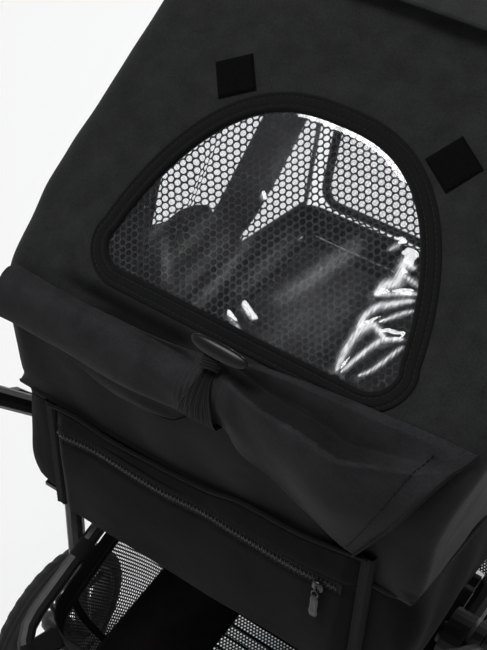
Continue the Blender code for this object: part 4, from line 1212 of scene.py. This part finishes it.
def swell(piece, cap, pressure=4.0, frames=20):
    """Inflates a closed pad as cloth and keeps the result, moving no point further than cap."""
    rest = np.array([v.co for v in piece.data.vertices], float)
    cloth = piece.modifiers.new("cloth", "CLOTH")
    cloth.settings.use_pressure = True
    cloth.settings.uniform_pressure_force = pressure
    cloth.settings.effector_weights.gravity = 0
    cloth.settings.quality = 5
    cloth.collision_settings.use_collision = False
    scene = bpy.context.scene
    for frame_number in range(1, frames + 1):
        scene.frame_set(frame_number)
    graph = bpy.context.evaluated_depsgraph_get()
    moved = np.array([v.co for v in piece.evaluated_get(graph).data.vertices], float)
    piece.modifiers.clear()
    scene.frame_set(1)
    step = moved - rest
    size = np.linalg.norm(step, axis=1, keepdims=True)
    moved = rest + step * np.minimum(1, cap / np.maximum(size, 1e-9))
    piece.data.vertices.foreach_set("co", moved.astype(np.float32).ravel())
    piece.data.update()


def build_cushion():
    """A quilted pad: a swollen closed form with sewn channels and a piped edge."""
    low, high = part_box("cushion")
    start = bmesh.new()
    bmesh.ops.create_cube(start, size=1.0)
    shrink, height = 0.008, 0.0150
    for vert in start.verts:
        vert.co.x *= (high.x - low.x) - 2 * shrink
        vert.co.y = (low.y + high.y) / 2 + vert.co.y * ((high.y - low.y) - 2 * shrink)
        vert.co.z = (low.z + high.z) / 2 + vert.co.z * height
    mesh = bpy.data.meshes.new("cushion_pad")
    start.to_mesh(mesh)
    start.free()
    pad = bpy.data.objects.new("cushion_pad", mesh)
    bpy.context.collection.objects.link(pad)
    remesh = pad.modifiers.new("voxels", "REMESH")
    remesh.mode, remesh.voxel_size = "VOXEL", 0.005
    finish_mesh(pad)
    swell(pad, 0.0075)
    points = np.array([v.co for v in pad.data.vertices], float)
    for line in np.linspace(low.y + 0.075, high.y - 0.075, 4):
        points[:, 2] -= np.where(points[:, 2] > (low.z + high.z) / 2,
                                 0.0034 * np.exp(-((points[:, 1] - line) / 0.0055) ** 2), 0)
    points[:, 2] += 0.0008 * ripples(points, 0.04, 5.0)
    points = np.clip(points, np.array(low) + 0.0002, np.array(high) + (0.002, 0.002, 0.0035))
    pad.data.vertices.foreach_set("co", points.astype(np.float32).ravel())
    fine = pad.modifiers.new("fine", "SUBSURF")
    fine.levels = fine.render_levels = 1
    finish_mesh(pad)
    place_uvs(pad)
    pad.data.shade_smooth()
    pad.data.materials.clear()
    pad.data.materials.append(MATERIALS["cushion"])
    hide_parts("cushion")
    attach(pad, "frame")
    middle = (low.z + high.z) / 2 + 0.001
    loop = rounded_loop(high.x - 0.0015, low.y + 0.0015, high.y - 0.0015, 0.020, 200)
    piping = Shape().rod(np.column_stack([loop, np.full(len(loop), middle)]), 0.0022, 10, closed=True)
    piping = piping.build("cushion_piping", "binding", "cushion_fabric")
    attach(piping, "frame")


def place_uvs(piece):
    """UVs in metres from above, for a piece whose remeshing removed them."""
    mesh = piece.data
    layer = mesh.uv_layers.new(name="metres")
    corners = np.zeros(len(mesh.loops), np.int32)
    mesh.loops.foreach_get("vertex_index", corners)
    points = np.array([v.co for v in mesh.vertices], float)
    layer.data.foreach_set("uv", points[corners][:, :2].astype(np.float32).ravel())


# ---- basket ----
RAIL_LOW, RAIL_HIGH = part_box("basket_rail")
RAIL_RADIUS = 0.008


def rail_height(y):
    """The basket rail slopes down to the rear."""
    front, rear = RAIL_LOW.y + RAIL_RADIUS, RAIL_HIGH.y - RAIL_RADIUS
    share = (y - front) / (rear - front)
    return (RAIL_HIGH.z - RAIL_RADIUS) * (1 - share) + (RAIL_LOW.z + RAIL_RADIUS) * share


BASKET_FLOOR_HEIGHTS = (0.212, 0.190)      # at its front and at its rear


def build_basket():
    """A sagging mesh bag with a cloth band round its top, hung from the rail by straps."""
    low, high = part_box("basket")
    rim = rounded_loop(high.x, low.y + 0.001, high.y - 0.001, 0.030, 320)
    rim = np.column_stack([rim, rail_height(rim[:, 1]) - 0.001])
    floor_front, floor_rear, half = low.y + 0.032, high.y - 0.020, 0.150
    base = rounded_loop(half, floor_front, floor_rear, 0.030, 320)
    slope = np.interp(base[:, 1], [floor_front, floor_rear], BASKET_FLOOR_HEIGHTS)
    base = np.column_stack([base, slope])
    run = np.concatenate([[0], np.cumsum(np.linalg.norm(np.diff(rim, axis=0), axis=1))])
    total = run[-1] + np.linalg.norm(rim[0] - rim[-1])
    keys = np.append(run, total)
    band = 0.028

    def edges(a):
        """Points of the rail and of the floor's edge at length a round the basket."""
        a = np.mod(a, total)
        return [np.stack([np.interp(a, keys, np.append(ring[:, k], ring[0, k])) for k in range(3)], -1)
                for ring in (rim, base)]

    def wall(a, b):
        a = np.mod(a, total)
        top, foot = edges(a)
        depth = np.linalg.norm(top - foot, axis=-1)
        share = np.clip(b / depth, 0, 1)[..., None]
        point = top + (foot - top) * share
        out = np.stack([top[..., 0], top[..., 1] - (low.y + high.y) / 2, np.zeros_like(a)], -1)
        swing = np.sin(9 * math.pi * a / total)[..., None]
        sag = 0.006 * np.sin(math.pi * share) - 0.002 * np.sin(math.pi * share) * swing
        return point + unit(out) * sag

    def deep(a, b):
        top, foot = edges(a)
        return (b > band - 0.004) & (b < np.linalg.norm(top - foot, axis=-1) + 0.001)

    pitch, thread = 0.0037, 0.0017
    net = hex_net(wall, deep, (0.0, band - 0.006), (total - pitch * 0.9, 0.150), total / int(total / pitch),
                  thread, 6, math.pi / 6)

    def bottom(x, y, lift=0.0):
        z = np.interp(y, [floor_front, floor_rear], BASKET_FLOOR_HEIGHTS)
        sag = (1 - (x / half) ** 2) * (1 - ((2 * y - floor_front
                                             - floor_rear) / (floor_rear - floor_front)) ** 2)
        return np.stack([x, y, z - 0.006 * np.clip(sag, 0, 1) + lift], -1)

    outline = base[:, :2]
    under = hex_net(bottom, lambda x, y: (outline_distance(outline, x, y) < 0.001) & (np.abs(x) < 0.062),
                    outline.min(0), outline.max(0), pitch, thread, 6, math.pi / 6)
    net = net.build("basket_wall_net", "net", "black_mesh")
    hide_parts("basket")
    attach(net, "frame")
    under = under.build("basket_floor_net", "net", "black_mesh")
    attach(under, "frame")
    length = floor_rear - floor_front
    panels = Shape()
    x = np.linspace(0.056, half - 0.001, 24)
    inset = 0.0312 - np.sqrt(0.030 ** 2 - np.clip(x - half + 0.030, 0, 0.030) ** 2)
    share = np.linspace(0, 1, 50)[:, None]
    y = floor_front + inset + (length - 2 * inset) * share
    x = x + 0 * y
    panels.patch(bottom(x, y, 0.0012), flip=True)
    panels.patch(bottom(-x, y, 0.0012))
    x, stripe = np.meshgrid(np.linspace(-0.0565, 0.0565, 12), (-0.0012, -0.0011, 0.0011, 0.0012))
    for y in np.linspace(floor_front + 0.012, floor_rear - 0.012, 20):
        panels.patch(bottom(x, y + stripe, 0.0010))
    panels = panels.build("basket_floor_panels", "tub", "black_fabric")
    thicken(panels, 0.0010)
    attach(panels, "frame")
    cloth = Shape()
    a, b = np.meshgrid(np.linspace(0, total, 321)[:-1], np.array([0.0, 0.001, 0.010, 0.020, band]))
    top_band = wall(a, b)
    top_band[0] += (0, 0, 0.0015)
    cloth.patch(top_band, (False, True))
    for place in (np.arange(10) + 0.5) * total / 10:
        a, b = np.meshgrid(place + np.array([-0.0045, -0.0044, 0.0044, 0.0045]),
                           np.linspace(band - 0.001, 0.16, 24))
        cloth.patch(wall(a, b))
    piece = cloth.build("basket_band", "tub", "black_fabric")
    thicken(piece, 0.0010)
    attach(piece, "frame")
    trim = Shape()
    trim.rod(base, 0.0030, 10, closed=True)
    trim.rod(wall(np.linspace(0, total, 321)[:-1], np.full(320, band)), 0.0022, 8, closed=True)
    count = 14
    rail = rounded_loop(RAIL_HIGH.x - RAIL_RADIUS, RAIL_LOW.y + RAIL_RADIUS, RAIL_HIGH.y - RAIL_RADIUS,
                        0.05, 400)
    rail = np.column_stack([rail, rail_height(rail[:, 1])])
    for step in range(count):
        i = int((step + 0.5) * 400 / count)
        tangent = unit(rail[(i + 1) % 400] - rail[i - 1])
        inward = unit(np.cross([0, 0, 1.0], tangent))
        rise = np.cross(tangent, inward)
        turn = np.radians(np.linspace(-130, 130, 22))
        ring = rail[i] + 0.0094 * (-np.cos(turn)[:, None] * inward + np.sin(turn)[:, None]
                                   * rise) * (-1, -1, -1)
        nearest = rim[np.argmin(np.linalg.norm(rim - rail[i], axis=1))]
        path = np.vstack([nearest + rise * -0.012 + inward * 0.001, ring[::-1], nearest + rise * -0.010])
        path = resample(path, 40)
        width = np.array([-0.010, -0.0098, 0.0098, 0.010])
        band_points = path[:, None] + width[None, :, None] * tangent
        trim.patch(band_points)
    straps = trim.build("basket_straps", "binding", "black_fabric")
    thicken(straps, 0.0009, 1.0)
    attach(straps, "frame")


# ---- wheels and grip ----
def turn_profile(profile, segments, centre, ripple=None):
    """A surface of revolution about X through centre, from (along, radius) points."""
    profile = np.asarray(profile, float)
    turn = np.linspace(0, 2 * math.pi, segments, endpoint=False)
    radius = np.repeat(profile[:, 1][:, None], segments, 1)
    if ripple is not None:
        radius = radius + ripple(profile[:, 0][:, None], profile[:, 1][:, None], turn[None])
    along = np.repeat(profile[:, 0][:, None], segments, 1)
    return np.stack([centre[0] + along, centre[1] + radius * np.cos(turn),
                     centre[2] + radius * np.sin(turn)], -1)


def build_wheel(side, end):
    low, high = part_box(f"{side}_{end}_tyre")
    centre = np.array((low + high) / 2)
    radius, half = (high.z - low.z) / 2, (high.x - low.x) / 2
    inner = radius - 0.0165
    crown = [(-half * 0.98, inner), (-half, inner + 0.003), (-half, radius - 0.0095),
             (-half * 0.93, radius - 0.0062),
             (-half * 0.82, radius - 0.0036), (-half * 0.62, radius - 0.0016),
             (-half * 0.58, radius - 0.0012),
             (-half * 0.30, radius - 0.0003), (-half * 0.24, radius - 0.0016),
             (-half * 0.14, radius - 0.0016),
             (-half * 0.08, radius)]
    profile = crown + [(-a, r) for a, r in crown[::-1]]

    def tread(along, depth, turn):
        tread_share = np.abs(along) / half
        shoulder = smoothstep(0.50, 0.62, tread_share) * (1 - smoothstep(0.93, 0.98, tread_share))
        lug = 0.5 + 0.5 * np.sign(np.sin(turn * 36 + 1.6 * np.sign(along)))
        return -0.0016 * shoulder * lug * (depth > radius - 0.008)

    tyre = Shape().patch(turn_profile(profile, 216, centre, tread), (True, True), flip=True)
    tyre = tyre.build(f"{side}_{end}_tyre_rubber", "rubber", "tyre")
    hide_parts(f"{side}_{end}_tyre")
    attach(tyre, f"{side}_{end}_wheel")

    rim_top, edge, hub = inner - 0.0003, half * 0.85, 0.0140
    rim_low = inner - 0.0065
    rim = [(-edge, rim_low + 0.0010), (-edge, rim_top - 0.0008), (-edge + 0.0008, rim_top),
           (edge - 0.0008, rim_top),
           (edge, rim_top - 0.0008), (edge, rim_low + 0.0010), (edge - 0.0010, rim_low),
           (0.004, rim_low - 0.0006),
           (-0.004, rim_low - 0.0006), (-edge + 0.0010, rim_low)]
    wheel = Shape().patch(turn_profile(rim, 120, centre), (True, True), flip=True)
    bore = 0.0043
    hub_line = [(-half, bore), (-half, hub - 0.003), (-half + 0.0008, hub - 0.0018), (-half * 0.55, hub),
                (half * 0.55, hub), (half - 0.0008, hub - 0.0018), (half, hub - 0.003), (half, bore)]
    wheel.patch(turn_profile(hub_line, 60, centre), (True, True), flip=True)
    spokes = 5
    for spoke in range(spokes):
        for lean in (-0.20, 0.20):
            share = np.linspace(0, 1, 16)
            reach = (hub - 0.002) + (rim_low + 0.001 - hub + 0.002) * share
            turn = 2 * math.pi * spoke / spokes + math.pi / 2 + lean * share ** 0.8
            spoke_bow = 0.0012 * np.sin(math.pi * share)
            path = centre + np.stack([spoke_bow, reach * np.cos(turn), reach * np.sin(turn)], -1)
            width = 0.0052 - 0.0016 * np.sin(math.pi * share)
            wheel.rod(path, width, 14, flat=0.62, up=(1, 0, 0))
    piece = wheel.build(f"{side}_{end}_wheel_rim", "plastic", "black_plastic")
    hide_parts(f"{side}_{end}_wheel")
    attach(piece, f"{side}_{end}_wheel")


def build_wheels():
    for side, _ in SIDES:
        for end in ("rear", "front"):
            build_wheel(side, end)


def build_grip():
    """A foam sleeve with soft finger swells and rolled ends."""
    low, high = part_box("handle_grip")
    centre = np.array((low + high) / 2)
    half, radius = (high.x - low.x) / 2, (high.z - low.z) / 2
    x = np.linspace(-half + 0.004, half - 0.004, 160)
    swell_line = radius - 0.0006 + 0.0006 * np.cos(2 * math.pi * x / 0.028)
    outer = [(a, r) for a, r in zip(x, swell_line)]
    profile = ([(-half, 0.0093), (-half, radius - 0.0035), (-half + 0.0012, radius - 0.0012)] + outer
               + [(half - 0.0012, radius - 0.0012), (half, radius - 0.0035), (half, 0.0093)])
    grip = Shape().patch(turn_profile(profile, 64, centre), (True, True), flip=True)
    grip = grip.build("handle_foam_grip", "foam", "grip_foam")
    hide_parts("handle_grip")
    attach(grip, "handle")


# ---- carried-over CAD nodes ----
SLOT_MATERIAL = {"black_steel": "steel", "black_plastic": "plastic", "black_fabric": "tub",
                 "black_mesh": "net", "clear_film": "film", "grip_foam": "foam", "tyre": "rubber",
                 "cushion_fabric": "cushion", "zip_metal": "zip", "toggle_plastic": "toggle"}


def paint_frame():
    """Gives every CAD node that still shows the finish of its slot."""
    slots = {part["node"]: part["material_slot"] for part in frame["record"]["subparts"]}
    for name, piece in frame["nodes"].items():
        if piece.hide_render:
            continue
        piece.data.materials.clear()
        piece.data.materials.append(MATERIALS[SLOT_MATERIAL[slots[name]]])


# ---- studio ----
FLOOR_HALF_SIZE, FLOOR_ALBEDO = 60.0, 0.885
SKY_LOW, SKY_HIGH = ((0.85, 0.85, 0.86, 1), 0.10), ((0.13, 0.13, 0.135, 1), 0.60)     # colour, height
SUN_ENERGY, SUN_ANGLE, SUN_DIRECTION = 2.40, 0.50, (0.257, 0.135, 0.957)
# Each lamp's name, direction from the window, distance, (width, height) and power.
LAMPS = (("front_fill", (-0.20, -0.90, 0.40), 3.0, (2.0, 1.2), 20.0),)


def build_studio():
    """A pale floor, a world that is paler near the horizon, and soft lamps."""
    size = FLOOR_HALF_SIZE
    mesh = bpy.data.meshes.new("floor")
    corners = [(-size, -size, 0), (size, -size, 0), (size, size, 0), (-size, size, 0)]
    mesh.from_pydata(corners, [], [(0, 1, 2, 3)])
    floor = bpy.data.objects.new("floor", mesh)
    bpy.context.collection.objects.link(floor)
    mesh.materials.append(shader("floor_paint", (FLOOR_ALBEDO,) * 3, 0.7))

    world = bpy.data.worlds.new("studio")
    world.use_nodes = True
    tree = world.node_tree
    place = node(tree, "TexCoord")
    split = node(tree, "SeparateXYZ", [("Vector", place.outputs["Generated"])])
    ramp = node(tree, "ValToRGB", [("Fac", split.outputs["Z"])])
    ramp.color_ramp.elements[0].color, ramp.color_ramp.elements[0].position = SKY_LOW
    ramp.color_ramp.elements[1].color, ramp.color_ramp.elements[1].position = SKY_HIGH
    tree.links.new(ramp.outputs["Color"], tree.nodes["Background"].inputs["Color"])
    tree.nodes["Background"].inputs["Strength"].default_value = 1.0
    bpy.context.scene.world = world

    sun = bpy.data.lights.new("key", "SUN")
    sun.energy, sun.angle = SUN_ENERGY, SUN_ANGLE
    key = bpy.data.objects.new("key", sun)
    key.rotation_euler = Vector(SUN_DIRECTION).to_track_quat("Z", "Y").to_euler()
    bpy.context.collection.objects.link(key)
    target = Vector((0, FOOT_Y - 0.05, FOOT_Z))
    for name, direction, distance, size, power in LAMPS:
        lamp = bpy.data.lights.new(name, "AREA")
        lamp.shape = "RECTANGLE"
        lamp.size, lamp.size_y = size
        lamp.energy = power
        carrier = bpy.data.objects.new(name, lamp)
        away = Vector(direction).normalized()
        carrier.location = target + away * distance
        carrier.rotation_euler = away.to_track_quat("Z", "Y").to_euler()
        bpy.context.collection.objects.link(carrier)


# The camera's heading, roll, place and lens length came from a least-squares fit to the photograph by
# a separate program, for a tilt chosen by hand.
CAMERA_HEADING, CAMERA_TILT, CAMERA_ROLL = math.radians(33.29), math.radians(44.0), math.radians(2.16)
CAMERA_PLACE = (-0.3253, 0.5198, 1.2943)
LENS_LENGTH, SENSOR_WIDTH, NEAR_CLIP = 68.0, 36.0, 0.02     # mm, mm, m


def build_camera():
    """Looks down on the rear of the hood from behind and to the right."""
    heading, tilt, roll = CAMERA_HEADING, CAMERA_TILT, CAMERA_ROLL
    back = Vector((-math.sin(heading) * math.cos(tilt), math.cos(heading) * math.cos(tilt), math.sin(tilt)))
    level = Vector((-math.cos(heading), -math.sin(heading), 0))
    rise = back.cross(level)
    right = level * math.cos(roll) + rise * math.sin(roll)
    up = rise * math.cos(roll) - level * math.sin(roll)
    lens = bpy.data.cameras.new("camera")
    lens.lens, lens.sensor_width, lens.clip_start = LENS_LENGTH, SENSOR_WIDTH, NEAR_CLIP
    camera = bpy.data.objects.new("camera", lens)
    axes = np.array([right, up, back]).T
    place = np.eye(4)
    place[:3, :3], place[:3, 3] = axes, CAMERA_PLACE
    camera.matrix_world = Matrix(place.tolist())
    bpy.context.collection.objects.link(camera)
    bpy.context.scene.camera = camera
    bpy.context.scene.view_settings.view_transform = "Standard"


def main():
    build_camera()
    build_studio()
    build_hood()
    build_binding()
    build_window_net()
    build_film()
    build_flap()
    build_flap_fastening()
    build_hook_patches()
    build_pocket()
    build_zip()
    build_zip_slider()
    build_tub()
    build_side_nets()
    build_canopy()
    build_front_door()
    build_cushion()
    build_basket()
    build_wheels()
    build_grip()
    paint_frame()


main()
